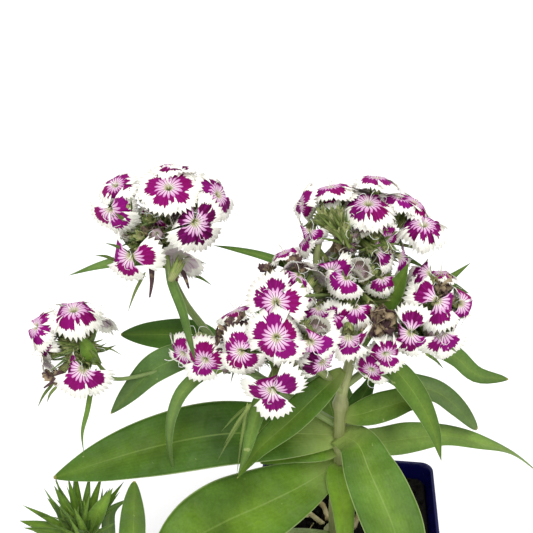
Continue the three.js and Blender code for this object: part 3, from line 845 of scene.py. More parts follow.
def straw_bits():
    """Short bent tubes that lie on the compost in random directions."""
    grids = []
    for x, y in scattered(70, 7):
        bearing, length = random.uniform(0, 2 * np.pi), random.uniform(2.0, 7.0)
        reach = (level(bearing) + UP * random.uniform(-0.05, 0.25)) * length
        start = np.array([x, y, COMPOST_TOP + 0.9])
        grids.append(tube([start, start + reach * 0.5 + (0, 0, 0.4), start + reach],
                          (random.uniform(0.25, 0.6), 0.2), columns=6, rows=5))
    return grids


make_piece("compost_crumbs", crumbs(), COMPOST)
make_piece("straw_bits", straw_bits(), STRAW)

# %% [markdown]
# ## Stems
# The main stem stands in the root crown and swells at the joints where leaves and branches leave it.
# Each stem is a tube along the path of its solid, so a table of paths, radii at both ends and joints
# is all it needs.

# %% Stems
STEMS = {
    "main_stem": dict(
        path=[[-5, -3, 86], [-6, -5, 110], [-5, -7, 136], [-6, -9, 157], [-6, -10, 179], [-3, -6, 196],
              [-3, -1, 212]],
        radii=(3.3, 2), joints=(0.44, 0.62), tone=0.85),
    "left_branch": dict(
        path=[[-6, -7, 158], [-33, -7, 176], [-56, -8, 195], [-66, -9, 210], [-72, -10, 221], [-77, -9, 234],
              [-79, -7, 246]],
        radii=(1.9, 1.3), joints=(0.33,), tone=0.1),
    "outer_branch": dict(
        path=[[-33, -10, 182], [-49, -15, 191], [-72, -20, 195], [-101, -24, 190], [-108, -19, 193],
              [-114, -15, 199]],
        radii=(1.0, 0.7), tone=0.0),
    "front_branch": dict(
        path=[[-6, -10, 180], [-14, -17, 194], [-24, -22, 206], [-28, -24, 213]], radii=(1.9, 1.4), tone=0.5),
    "front_left_branch": dict(
        path=[[-24, -22, 206], [-34, -23, 208], [-44, -24, 209]], radii=(1.3, 1.1), tone=0.4),
    "top_branch": dict(
        path=[[-3, -1, 210], [-2, 4, 222], [-1, 9, 234], [0, 12, 243]], radii=(1.8, 1.4), tone=0.3),
    "right_branch": dict(
        path=[[-6, -9, 181], [5, -5, 190], [16, 0, 199], [23, 2, 207]], radii=(1.7, 1.3), tone=0.3),
    "side_shoot_stem": dict(
        path=[[-8, -5, 87], [-26, -16, 99], [-58, -31, 103], [-92, -42, 103], [-114, -46, 113]],
        radii=(1.8, 1.4), joints=(0.55,), tone=0.2),
}
for name, row in STEMS.items():
    make_piece(name + "_skin", [tube(**row, columns=16)], STEM, [name])

# %% [markdown]
# Below the main stem lies the root crown, half buried, and beside it dry stems of last year. They are
# tubes like the others, with a joint in the middle of each dry stem.

# %% Old stems and root crown
OLD_STEMS = {
    "old_stem_long": [[-11, 2, 86], [-20, 9, 86.5], [-33, 17, 85.6]],
    "old_stem_short": [[-9, 5, 86], [-12, 14, 86.5], [-24, 24, 86]],
    "old_stem_upright": [[4, 3, 84], [9, 8, 104], [11, 10, 122], [12, 11, 138]],
}
CROWN = [[-5, -3, 52], [-5, -3, 70], [-5, -3, 82], [-5, -3, 87.5]]
for name, path in OLD_STEMS.items():
    make_piece(name + "_skin", [tube(path, (1.3, 1.1), joints=(0.5,))], STRAW, [name])
make_piece("root_crown_skin", [tube(CROWN, (1.5, 6.0), tone=1.0)], STEM, ["root_crown"])

# %% [markdown]
# ## Leaves
# The leaves stand in pairs on the joints, broad ones low down and narrow ones higher up. They could be
# copies of one leaf, but no two bend alike, so each has a row of its own: a midrib of a few points from
# base to tip, the half width, the way it faces, and how it folds, waves and twists. The first rows are
# the leaves of the main stem.


# %% Leaves of the main stem
def make_leaves(rows):
    """One blade for each row. Broad leaves get a finer grid."""
    for name, row in rows.items():
        grid = {"rows": 40, "columns": 13} if row["half"] > 5 else {"rows": 24, "columns": 7}
        make_piece(name + "_blade", [blade(**row, **grid)], LEAF, [name])


# Each tone here is partly the leaf's own green and partly painted shade. The hanging front leaf gets the
# lightest green as painted light, though the leaf above shades it.
make_leaves({
    "leaf_low_left": dict(
        path=[[-6, -7, 153], [-30, -15, 159], [-57, -22, 162], [-86, -29, 158], [-107, -35, 153],
              [-126, -41, 148]],
        half=14, fold=0.12, widest=0.44, fullness=0.8, wave=0.06, tone=0.82),
    "leaf_low_front_left": dict(
        path=[[-6, -7, 136], [-21, -18, 132], [-37, -30, 131], [-53, -43, 132], [-66, -57, 133],
              [-79, -69, 119]],
        half=17.2, fold=0.12, widest=0.57, fullness=0.7, wave=0.04, tone=0.57),
    "leaf_low_front": dict(
        path=[[-6, -9, 155], [2, -20, 160], [7, -31, 156], [13, -41, 149], [18, -50, 142], [22, -60, 126],
              [24, -66, 110]],
        half=12.5, faces=(0.1, -0.6, 0.8), fold=0.15, widest=0.55, fullness=0.6, wave=0.04, tone=0.72,
        bloom=0.06),
    "leaf_hanging_front": dict(
        path=[[-5, -8, 137], [-6, -15, 137], [-3, -24, 129], [-1, -37, 118], [1, -49, 97]],
        half=5.4, wave=0.05, tone=0),
    "leaf_low_right": dict(
        path=[[-5, -6, 149], [14, 5, 140], [28, 8, 141], [43, 10, 142], [59, 8, 141], [74, 8, 136],
              [91, 7, 123]],
        half=7.8, fold=0.1, widest=0.32, twist=60, wave=0.08, tone=0.19, bloom=0.3),
    "leaf_short_left": dict(
        path=[[-6, -7, 145], [-16, -10, 150], [-27, -14, 149], [-40, -19, 144]],
        half=8.5, fold=0.1, fullness=0.8, wave=0.03, tone=0.46),
    "leaf_short_right": dict(
        path=[[-5, -8, 164], [4, -9, 168], [14, -8, 172], [24, -8, 176], [34, -8, 170]],
        half=6.6, widest=0.45, fullness=0.8, wave=0.03, tone=0.49, bloom=0.1),
    "leaf_back_right": dict(
        path=[[-5, -6, 160], [1, 2, 163], [5, 7, 168], [9, 11, 178]],
        half=4.5, faces=(0, -0.8, 0.6), tone=0.94),
})

# %% [markdown]
# Higher up the leaves are narrower and hang or arch over, and most show a dull bloom. One turns a
# little on its way to the tip, which a twist gives better than more points on the midrib would.

# %% Leaves of the branches
make_leaves({
    "leaf_under_front_head": dict(
        path=[[-6, -11, 192], [-16, -23, 188], [-27, -32, 180], [-38, -41, 173], [-46, -48, 163]],
        half=6.2, tone=0.68),
    "leaf_narrow_under_front_head": dict(
        path=[[-20, -20, 202], [-29, -29, 199], [-37, -36, 194], [-40, -42, 186], [-42, -49, 178],
              [-45, -52, 169]],
        half=3.4, tone=0.61, bloom=0.2),
    "leaf_twisted": dict(
        path=[[-55, -17, 194], [-64, -25, 195], [-70, -29, 190], [-74, -32, 181], [-76, -34, 168],
              [-75, -36, 152]],
        half=3.0, faces=(-0.4, -0.9, 0.2), widest=0.42, fullness=0.6, twist=-15, tone=0.64, bloom=0.3),
    "leaf_broad_upper_left": dict(
        path=[[-55, -9, 195], [-65, -6, 200], [-76, -3, 199], [-90, -1, 197], [-103, -1, 196]],
        half=7.2, fold=0.1, widest=0.5, fullness=0.7, wave=0.04, tone=0.94),
    "leaf_hanging_left": dict(
        path=[[-55, -9, 195], [-64, -14, 199], [-74, -18, 198], [-84, -22, 194], [-93, -26, 185],
              [-101, -31, 177]],
        half=6.4, widest=0.5, fullness=0.8, wave=0.07, tone=0.87, bloom=0.3),
    "leaf_hanging_right": dict(
        path=[[8, -6, 194], [14, -11, 195], [20, -14, 190], [27, -17, 181], [33, -21, 170], [37, -23, 157]],
        half=5.2, fold=0.12, widest=0.42, wave=0.03, tone=0.61, bloom=0.1),
    "leaf_arched_right": dict(
        path=[[2, -6, 187], [12, 2, 182], [25, 8, 172], [37, 10, 167], [47, 11, 158], [57, 10, 147]],
        half=5.4, fold=0.15, widest=0.55, fullness=0.5, wave=0.06, tone=0.67, bloom=0.45),
    "leaf_upper_right": dict(
        path=[[14, -1, 197], [22, 7, 195], [32, 11, 192], [43, 13, 185], [54, 14, 175], [68, 15, 173]],
        half=4.8, fold=0.15, widest=0.55, fullness=0.6, wave=0.08, tone=0.74, bloom=0.2),
})

# %% [markdown]
# Under and between the heads stand small pointed leaves, some of them no wider than a blade of grass.
# They are short or partly hidden, so their midribs need few points.

# %% Leaves beside the heads
make_leaves({
    "leaf_standing": dict(
        path=[[2, 4, 214], [8, -3, 221], [13, -4, 229], [17, -3, 240]],
        half=5.4, faces=(-0.3, -0.9, 0.3), tone=0.58, bloom=0.1),
    "leaf_tip_upper_right": dict(
        path=[[26, 5, 219], [31, 6, 225], [36, 7, 229], [43, 9, 235]],
        half=2, tone=0.52, bloom=0.2),
    "leaf_tip_lower_right": dict(
        path=[[26, 6, 216], [30, 7, 226], [37, 8, 224], [44, 8, 221]],
        half=2.4, tone=0.76, bloom=0.1),
    "leaf_above_front_head": dict(
        path=[[-18, 3, 226], [-31, 1, 234], [-41, 2, 237], [-52, 1, 240], [-61, 0, 242]],
        half=1.9, tone=0.76, bloom=0.1),
    "leaf_left_head_side": dict(
        path=[[-77, -9, 236], [-86, -10, 239], [-96, -12, 239], [-105, -15, 238], [-116, -18, 235]],
        half=2.6, wave=0.05, tone=0.64, bloom=0.3),
    "leaf_left_head_hanging": dict(
        path=[[-78, -10, 240], [-74, -20, 237], [-68, -29, 229], [-64, -38, 223], [-61, -45, 218]],
        half=2.7, faces=(-0.5, -0.8, 0.2), fullness=0.7, tone=0.64, bloom=0.3),
    "leaf_outer_head_hanging": dict(
        path=[[-108, -22, 193], [-109, -28, 186], [-111, -30, 177], [-114, -32, 166], [-114, -34, 156]],
        half=1.5, faces=(-0.5, -0.8, 0.2), tone=0.52, bloom=0.1),
    "leaf_outer_head_upright": dict(
        path=[[-108, -19, 193], [-108, -26, 202], [-109, -27, 208], [-111, -26, 213]],
        half=3.2, faces=(0.2, -0.9, 0.3), widest=0.45, fullness=0.8, tone=0.46, bloom=0.1),
    "leaf_top_head": dict(
        path=[[4, 10, 236], [14, 8, 237], [19, 8, 235], [26, 9, 231]],
        half=1.5, tone=0.82, bloom=0.1),
})

# %% [markdown]
# Three broad leaves fill the back, where each pair needs its second leaf, and two narrow ones stand on
# the side shoot.

# %% Leaves at the back and on the side shoot
make_leaves({
    "leaf_back_low": dict(
        path=[[-5, -5, 140], [-10, 14, 150], [-18, 34, 152], [-28, 55, 142]],
        half=12, faces=(0, 0.3, 0.95), wave=0.05, tone=0.7, bloom=0.1),
    "leaf_back_upper": dict(
        path=[[-4, -4, 190], [4, 18, 202], [12, 38, 206], [20, 56, 200]],
        half=8, faces=(0, 0.2, 0.95), wave=0.05, tone=0.7, bloom=0.1),
    "leaf_back_left": dict(
        path=[[-32, -5, 178], [-36, 14, 190], [-44, 32, 194], [-54, 48, 188]],
        half=7, faces=(0, 0.2, 0.95), wave=0.05, tone=0.7, bloom=0.1),
    "leaf_shoot_upright": dict(
        path=[[-92, -42, 103], [-93, -45, 115], [-91, -46, 135], [-89, -46, 155]],
        half=5.9, faces=(0, -0.95, 0.3), widest=0.5, fullness=0.6, wave=0.03, tone=0.68),
    "leaf_shoot_folded": dict(
        path=[[-103, -44, 106], [-105, -41, 118], [-103, -40, 130], [-95, -40, 138]],
        half=3, faces=(0.2, -0.95, 0.3), tone=0.82, bloom=0.2),
})

# %% [markdown]
# ## Flowers
# One flower has five petals, a green cup with five teeth and scales round it, two curled styles and a
# stalk. Instances of one flower would be quick, but real petals arch and droop each in its own way. So
# every petal is worked out anew, facing up with its throat near the origin, and then turned and moved
# to its place. All flowers of a head are joined into one mesh for each kind of piece.

# %% Petal grid
PETAL_STOPS = np.array([0, 0.18, 0.36, 0.62, 1.0])[:, None]
BEND_STOPS = [0, 0.12, 0.32, 0.5, 1]
BEND_STEPS = 60
HALF_FAN = np.radians(38)


def petal_bend(droop):
    """The petal's middle line seen from the side: at each of many steps outwards its place, its height
    above the throat and its slope. It climbs at 72 degrees out of the throat, is level a third of the
    way, slopes down by 0.8 of the droop halfway and by 1.1 of it at the rim."""
    way = np.linspace(0, 1, BEND_STEPS)
    slope = np.radians(np.interp(way, BEND_STOPS, [72, 55, 0, -0.8 * droop, -1.1 * droop]))
    run = np.concatenate([[0], np.cumsum(np.cos(slope[1:]))]) / (BEND_STEPS - 1)
    rise = np.concatenate([[0], np.cumsum(np.sin(slope[1:]))]) / (BEND_STEPS - 1)
    return way, run, rise - rise[BEND_STEPS // 3], slope


def petal(radius, bearing, droop, tone, teeth=9):
    """Flat fan first: u from -1 to 1 across and s from 0 to 1 outwards give a reach from the throat
    and an angle off the petal's middle line. The fan is narrow in the throat and 38 degrees to each
    side at the rim, where every second column is cut back to a notch. Then the fan is bent over the
    curve of petal_bend. The sides curl down, and the rim ripples."""
    columns = 2 * teeth + 1
    s = PETAL_STOPS
    u = np.linspace(-1, 1, columns)[None, :]
    rim = 1 - 0.14 * np.abs(u) ** 3
    notch = (np.arange(columns) % 2) * random.uniform(0.06, 0.16, columns)
    reach = 0.04 + (rim - 0.04) * s - notch * s ** 8
    spread = HALF_FAN * (0.6 + 0.4 * np.minimum(s / 0.6, 1) ** 1.5)
    outwards, sideways = reach * np.cos(u * spread), reach * np.sin(u * spread)

    way, run, rise, slope = petal_bend(droop)
    x, z, lean = (np.interp(outwards, way, values) for values in (run, rise, slope))
    ripple = 0.045 * np.sin(4.6 * u + random.uniform(0, 6.3)) * s ** 2
    roll, curl = random.uniform(-0.2, 0.2), random.uniform(0.0, 0.5)
    z = z + ripple + roll * s * sideways - curl * sideways ** 2
    half_thick = 0.010 - 0.005 * s
    c, t = math.cos(bearing), math.sin(bearing)

    def face(side):
        """One face of the petal, turned to its bearing."""
        offset = side * half_thick
        flat = np.stack([x - offset * np.sin(lean), sideways, z + offset * np.cos(lean)], -1)
        return flat @ np.array([[c, t, 0], [-t, c, 0], [0, 0, 1]]) * radius

    return two_faces(face(1), face(-1), reach, tone=tone)


print("height of a drooping petal's rim:", round(petal_bend(60)[2][-1], 3), "of its length")

# %% [markdown]
# Below its petals a flower has a ribbed green cup with five teeth. There are hundreds of cups, so each
# is a coarse grid, and the finish gives it its ribs.

# %% Flower cup
CUP_LENGTH, CUP_RADIUS, CUP_COLUMNS, CUP_MOUTH = 13.0, 1.7, 10, 4
CUP_PROFILE = np.array([
    (0.35, -1.0), (0.75, -0.96), (0.95, -0.75), (1.0, -0.45), (1.15, -0.32), (0.85, -0.33), (0.5, -0.5)])


def cup():
    """A tube below the throat, whose profile is given as shares of the cup's radius and length. Every
    second column of its mouth is drawn up to a tooth, and its wall turns in."""
    angle = (np.arange(CUP_COLUMNS) + 0.5) * 2 * np.pi / CUP_COLUMNS
    tooth = np.arange(CUP_COLUMNS) % 2
    radius = CUP_RADIUS * CUP_PROFILE[:, :1] * np.ones(CUP_COLUMNS)
    z = CUP_LENGTH * CUP_PROFILE[:, 1:] * np.ones(CUP_COLUMNS)
    radius[CUP_MOUTH] += 0.35 * tooth
    z[CUP_MOUTH] += 2.2 * tooth
    return even_grid(np.stack([radius * np.cos(angle), radius * np.sin(angle), z], -1), 0.5)


print("points of a cup:", cup()[0].shape)

# %% [markdown]
# Pointed scales stand round the cup, and two styles curl out of the throat. The scales are small blades
# and the styles thin tubes, so both reuse what made the leaves and stems.

# %% Scales and styles
SCALE_PATH = [(0.5, -12.5), (1.9, -8.5), (2.3, -4.5)]


def scales(count):
    """Blades round the cup that follow the pairs (out, up) of the path and end near its mouth, each at
    a place of its own."""
    grids = []
    for k in range(count):
        side = level(2 * np.pi * k / count + random.uniform(-0.4, 0.4))
        flare = random.uniform(2.2, 4.2)
        path = [side * out + UP * up for out, up in SCALE_PATH]
        path.append(side * flare + UP * random.uniform(-3, 1))
        grids.append(blade(path, 1.1, side, fold=-0.3, tone=random.uniform(0, 0.6), rows=5, columns=3,
                           widest=0.35, thickness=0.25))
    return grids


def styles(length):
    """Two thin tubes that rise out of the throat and curl over in different directions."""
    grids = []
    start = random.uniform(0, 2 * np.pi)
    for k in range(2):
        side = level(start + k * random.uniform(1.5, 3.5))
        across = np.array([-side[1], side[0], 0])
        path = [side * 0.2 - UP * 2.5, side * 0.7 + UP * length * 0.4,
                side * length * 0.3 + UP * length * 0.75,
                side * length * 0.6 + across * length * 0.2 + UP * length * 0.7,
                side * length * 0.6 + across * length * 0.5 + UP * length * 0.45]
        grids.append(tube(path, (0.16, 0.07), columns=4, rows=9))
    return grids


# %% [markdown]
# Petals, cup, scales and styles are worked out round the origin and have to be carried to the flower's
# place. Objects could be turned and moved, but all grids of a head end in one mesh at the origin, so
# the points themselves are turned.


# %% A grid in its place
def placed(grid, face, axis, spin=0.0):
    """Turns a grid about +Z by spin, tips +Z to the axis, and moves the origin to the face. Unspun and
    with an axis that points to the front, the grid's +X turns to the right and its +Y up."""
    points, *rest = grid
    side = unit(np.cross(UP if abs(axis[2]) < 0.97 else np.array([0.0, 1.0, 0.0]), axis))
    other = np.cross(axis, side)
    x, y, z = np.moveaxis(points, -1, 0)
    turned_x = x * math.cos(spin) - y * math.sin(spin)
    turned_y = x * math.sin(spin) + y * math.cos(spin)
    moved = turned_x[..., None] * side + turned_y[..., None] * other + z[..., None] * axis + face
    return (moved, *rest)


front = np.array([0.0, -1.0, 0.0])
print("the foot of a cup that faces the front:", placed(cup(), 0, front)[0][0].mean(0).round(1).tolist())

# %% [markdown]
# ### What a head is made of
# The petals, cups, styles, stalks, bracts and dry parts of a head have different finishes and are
# better listed apart than joined into one mesh. Each function below adds to these lists: a green cup, a
# whole flower, a withered one, an awn. A flower that has no petal angles of its own gets five even
# ones, and a fading one closes or hangs.

# %% Cups and whole flowers
HEAD_PARTS = {
    "petals": (PETAL, "petals"), "cups": (CUP, "calyces"), "styles": (STYLE, "petals"),
    "stalks": (STEM, "stems"), "bracts": (BRACT, "leaves"), "withered": (WITHERED, "petals"),
}


def even_petals():
    """Angle and droop of five petals a fifth of a turn apart."""
    first = random.uniform(0, 72)
    return [(first + 72 * k + random.uniform(-9, 9), random.uniform(10, 65)) for k in range(5)]


def fading_petals():
    """Angle and droop of petals that either close over the throat or hang along the cup."""
    first, closes = random.uniform(0, 72), random.uniform() < 0.3
    droops = random.uniform(-100, -50, 5) if closes else random.uniform(70, 115, 5)
    return [(first + 72 * k, droops[k]) for k in range(5)]


def fading_flower(hub, dome, side):
    """Throat, axis, radius and petals of a small fading flower, between two bearings."""
    axis = direction(random.uniform(*side), random.uniform(-25, 60))
    place = hub + axis * dome * random.uniform(0.75, 1.05)
    leaning = unit(axis + random.uniform(-0.5, 0.5, 3))
    return place, leaning, random.uniform(6, 8.5), fading_petals()


def add_cup(parts, face, axis, scale_count=4):
    """A green cup below the face, with its scales."""
    parts["cups"].append(placed(cup(), face, axis))
    parts["bracts"] += [placed(grid, face, axis) for grid in scales(scale_count)]


def add_flower(parts, hub, face, axis, radius, petals, tone):
    """The petals of a flower, its cup, its styles, and a bowed stalk from the foot of the cup."""
    for angle, droop in petals:
        grid = petal(radius * random.uniform(0.94, 1.04), math.radians(angle), droop,
                     tone + random.uniform(0, 0.3))
        parts["petals"].append(placed(grid, face, axis))
    add_cup(parts, face, axis)
    parts["styles"] += [placed(grid, face, axis) for grid in styles(random.uniform(5, 8))]
    foot = face - axis * (CUP_LENGTH - 0.5)
    middle = (foot + hub) / 2 - UP
    parts["stalks"].append(tube([foot, middle, hub - UP], (0.7, 0.9), columns=6, rows=7, tone=0.2))


print("kinds of piece in a head:", ", ".join(HEAD_PARTS))

# %% [markdown]
# Between its flowers a head shows a tangle of spent cups, withered petals and thin awns. Much of it is
# hidden, so it is strewn at random round the hub, and only what is in clear view is listed one by one.


# %% Spent cups, withered flowers, buds and awns
def add_spent_cups(parts, hub, dome, count):
    """Cups that have lost their petals, all over the dome. Every fourth has kept its styles."""
    for k in range(count):
        axis = direction(random.uniform(0, 360), random.uniform(-15, 80))
        face = hub + axis * dome * random.uniform(0.8, 1.1)
        axis = unit(axis + random.uniform(-0.3, 0.3, 3))
        add_cup(parts, face, axis, 3)
        if k % 4 == 0:
            lower = face - 3 * axis
            parts["styles"] += [placed(grid, lower, axis) for grid in styles(random.uniform(4, 7))]


def add_withered(parts, hub, place):
    """Small dry petals that close over the place or hang from it, on a cup that leans away from the
    hub."""
    axis = unit(place - hub + random.uniform(-4, 4, 3))
    for k in range(8):
        droop = random.uniform(60, 130) if k % 3 == 0 else random.uniform(-125, -50)
        grid = petal(random.uniform(4, 7.5), k * 0.785, droop, random.uniform(0, 1), teeth=4)
        parts["withered"].append(placed(grid, place, axis, random.uniform(-0.3, 0.3)))
    parts["cups"].append(placed(cup(), place, axis))


def loose_awns(hub, count=34, length=17):
    """Thin curved awns in a loose fan round the hub, most of them pointing up and outwards."""
    grids = []
    for _ in range(count):
        bearing, height = random.uniform(0, 360), random.uniform(-30, 70)
        reach = direction(bearing, height) * random.uniform(0.6, 1.1) * length
        start = hub - UP * 3
        middle = start + reach * 0.5 + random.uniform(-2, 2, 3)
        grids.append(blade([start, middle, start + reach + UP * random.uniform(-2, 3)],
                           random.uniform(0.6, 1.4), np.cross(reach, (0.3, 0.5, 0.1)), fold=0.4,
                           tone=random.uniform(0.0, 0.8), rows=7, columns=3, widest=0.25, thickness=0.3))
    return grids


def awn(start, tip):
    """An awn in clear view."""
    middle = (start + tip) / 2 + (0, -1, 1.5)
    return blade([start, middle, tip], 0.65, (0.2, -0.9, 0.4), tone=random.uniform(0.45, 1.0), rows=14,
                 columns=5, widest=0.3)


def dry_bud(start, tip):
    """A dark bud that dried before it opened."""
    middle = (start + tip) / 2 + (0.6, -0.6, 0)
    return tube([start, middle, tip], (1.3, 0.35), columns=8, rows=12, tone=1.0)


# %% [markdown]
# The heads are domes of flowers. They could be scattered at random, but a head is known by its large
# flowers, so these are rows: the place of the throat (x, y, z), the bearing and the height of the axis,
# the radius, and for each petal the angle at which it leaves the throat and its droop. A row without
# petals is a flower that is less in view. An old flower has lost some of its petals. Green cups in
# clear view have rows too (place of the mouth, bearing, height), and dry buds and awns have a start
# and a tip. Fading flowers and spent cups fill the rest round the hub.


# %% One head
def build_head(name, hub, dome, flowers, spent_cups, fading=0, fading_side=(-180, 0), set_cups=(),
               withered=(), dry_buds=(), awns=(), old_stalk=None):
    """Builds the pieces of a head: its flowers first, then what fills the room between them."""
    hub = np.array(hub, float)
    parts = {kind: [] for kind in HEAD_PARTS}
    opened = [(np.array(row[:3], float), direction(*row[3:5]), row[5], row[6:] or even_petals())
              for row in flowers]
    faded = [fading_flower(hub, dome, fading_side) for _ in range(fading)]
    for flower in opened:
        add_flower(parts, hub, *flower, tone=random.uniform(0, 0.7))
    for flower in faded:
        add_flower(parts, hub, *flower, tone=random.uniform(1.1, 1.5))
    add_spent_cups(parts, hub, dome, spent_cups)
    for *face, bearing, height in set_cups:
        add_cup(parts, np.array(face, float), direction(bearing, height))
    for place in np.array(withered, float):
        add_withered(parts, hub, place)
    parts["withered"] += [dry_bud(*ends) for ends in np.array(dry_buds, float)]
    if old_stalk:
        parts["stalks"].append(tube(old_stalk, (1.7, 1.2), columns=10, tone=0.6))
    strewn = loose_awns(hub)
    parts["bracts"] = strewn + [awn(*ends) for ends in np.array(awns, float)] + parts["bracts"]
    for kind, (finish, slot) in HEAD_PARTS.items():
        make_piece(f"{name}_{kind}", parts[kind], finish, [name] if kind == "petals" else ())


# %% [markdown]
# ## The seven heads
# The left head sits at the end of the long left branch. A large flower lies flat on top of it, and
# flowers that have lost petals stand round its front.

# %% Left head
build_head(
    "left_flower_head",
    hub=[-79, -6, 248], dome=17, spent_cups=22, fading=6,
    flowers=[
        [-75, -11, 272, -80, 65, 14.5, (95, 5), (176, 15), (20, 15), (315, 15), (250, 15)],
        [-64, -18, 261, -60, 8, 15, (30, 20), (345, 60), (293, 22), (232, 20), (135, 110)],
        [-98, -14, 263, -110, 5, 14.5, (222, 25), (316, 30), (15, 60)],
        [-88, -25, 249, -92, 5, 15.5, (8, 18), (250, 28), (170, 75)],
        [-96, -9, 271, -120, 55, 10.5, (15, 30), (65, 30), (145, 45), (240, 30), (300, 70)],
        [-76, 2, 275, 85, 75, 12, (345, 30), (140, 10), (210, 30), (60, 30), (280, 30)],
        [-57, -5, 267, -20, 35, 13, (280, 30), (110, 40), (345, 85), (195, 40), (50, 40)],
        [-80, -12, 261, -110, 15, 12, (215, 25), (275, 60)],
        [-71, -13, 243, 80, 15, 11.5, (265, 10), (325, 15), (205, 20), (110, 40), (35, 40)],
        [-100, -4, 252, -160, -5, 9], [-86, 10, 263, 120, 35, 11.5],
        [-66, 9, 264, 50, 35, 11.5], [-77, 14, 250, 90, 0, 11.5]],
    set_cups=[
        [-92, -13, 268, -130, 75], [-96, -15, 264, -150, 50], [-84, -13, 262, -110, 70],
        [-87, -15, 258, -120, 60], [-80, -12, 264, -90, 75], [-83, -14, 255, -100, 50],
        [-88, -19, 253, -120, 40], [-91, -19, 251, -130, 30]],
    withered=[[-75, -8, 233], [-81, -15, 254]],
    dry_buds=[[[-82, -18, 242], [-83, -21, 229]], [[-73, -10, 238], [-69, -13, 229]]],
    awns=[[[-89, -21, 248], [-97, -26, 255]], [[-94, -22, 245], [-101, -27, 250]],
          [[-69, -7, 232], [-60, -10, 229]], [[-85, -17, 238], [-93, -20, 220]]])

# %% [markdown]
# This head leans out to the left on a thin branch. A large flower droops over its top, others are seen
# from the side, and none of them is fading yet.

# %% Outer left head
build_head(
    "outer_left_flower_head",
    hub=[-114, -19, 203], dome=12, spent_cups=12,
    flowers=[
        [-113, -25, 224, -85, 86, 15.5, (266, 72), (334, 60), (40, 60), (110, 50), (195, 70)],
        [-129, -27, 216, -140, 40, 12.5, (80, 40), (30, 40), (265, 55), (140, 80), (330, 60)],
        [-128, -27, 207, -130, -20, 10.5, (250, -20), (315, 50), (30, 60)],
        [-129, -25, 200, -165, -10, 10, (110, 15), (15, 15), (275, 35), (190, 40), (325, 40)],
        [-110, -32, 200, -85, 22, 16, (238, 18), (312, 28), (165, 85)],
        [-110, -6, 208, 70, 30, 11.5], [-122, -8, 206, 130, 20, 10]],
    set_cups=[
        [-118, -29, 212, -130, 35], [-122, -28, 211, -150, 30], [-115, -30, 209, -110, 25],
        [-121, -30, 207, -140, 10], [-112, -30, 206, -80, 60], [-116, -31, 204, -120, 40]],
    withered=[[-124, -28, 192]],
    dry_buds=[[[-120, -29, 196], [-127, -33, 190]]],
    awns=[[[-124, -29, 190], [-132, -32, 178]], [[-122, -31, 190], [-127, -33, 182]],
          [[-109, -26, 207], [-103, -27, 199]], [[-112, -24, 213], [-110, -28, 200]]])

# %% [markdown]
# The front head is nearest to the eye. Its flowers overlap like tiles, and four long awns hang below.

# %% Front head
build_head(
    "front_flower_head",
    hub=[-28, -24, 214], dome=17, spent_cups=22, fading=7,
    flowers=[
        [-32, -38, 241, -90, 35, 14.5, (105, 30), (165, 30), (205, 75), (5, 30), (60, 115)],
        [-31, -46, 231, -90, 28, 14.5, (110, 30), (170, 30), (235, 60), (310, 40), (35, 72)],
        [-44, -45, 223, -95, 15, 13, (240, 30), (315, 35), (105, 35), (185, 65), (75, 115)],
        [-32, -50, 210, -90, -5, 15.5, (200, 30), (275, -10), (30, 30), (115, 150)],
        [-19, -42, 227, -85, 8, 14, (205, 75), (345, 35), (62, 150), (275, 95)],
        [-14, -36, 214, -50, -5, 14, (270, 65), (340, 60), (50, 60), (125, 60), (200, 60)],
        [-5, -28, 220, -88, -10, 14, (278, -10), (345, 60), (205, 60)],
        [-27, -26, 230, 5, 65, 9], [-24, -17, 235, 10, 60, 11], [-17, -24, 222, -160, 30, 10],
        [-10, -19, 222, -90, -25, 11], [-42, -12, 215, 150, 20, 11]],
    withered=[[-46, -27, 224], [-49, -29, 223], [-38, -2, 233]],
    awns=[[[-41, -41, 195], [-54, -48, 171]], [[-41, -41, 196], [-52, -47, 186]],
          [[-41, -43, 197], [-51, -48, 180]], [[-42, -43, 198], [-46, -49, 166]]])

# %% [markdown]
# A small head grows out to the left of the front one, on a branch of its own.

# %% Front left head
build_head(
    "front_left_flower_head",
    hub=[-44, -24, 209], dome=13, spent_cups=6, fading=2, fading_side=(-180, -90),
    flowers=[
        [-59, -37, 212, -100, -8, 13, (250, -10), (300, 45), (95, 75), (10, 40), (180, 40)],
        [-69, -31, 210, -115, -10, 12, (240, 15), (300, 25), (15, 50), (100, 80), (180, 50)],
        [-64, -25, 214, 110, 70, 9], [-49, -21, 225, 140, 60, 11]],
    withered=[[-52, -32, 221], [-54, -34, 217]],
    awns=[[[-60, -30, 206], [-65, -31, 218]], [[-58, -32, 204], [-63, -36, 214]]])

# %% [markdown]
# The top head is the fullest. Its flowers look up and are seen at a slant, so they droop strongly to
# show their fringes. Tall spent cups stand at its left, and an old flower stalk passes behind them.

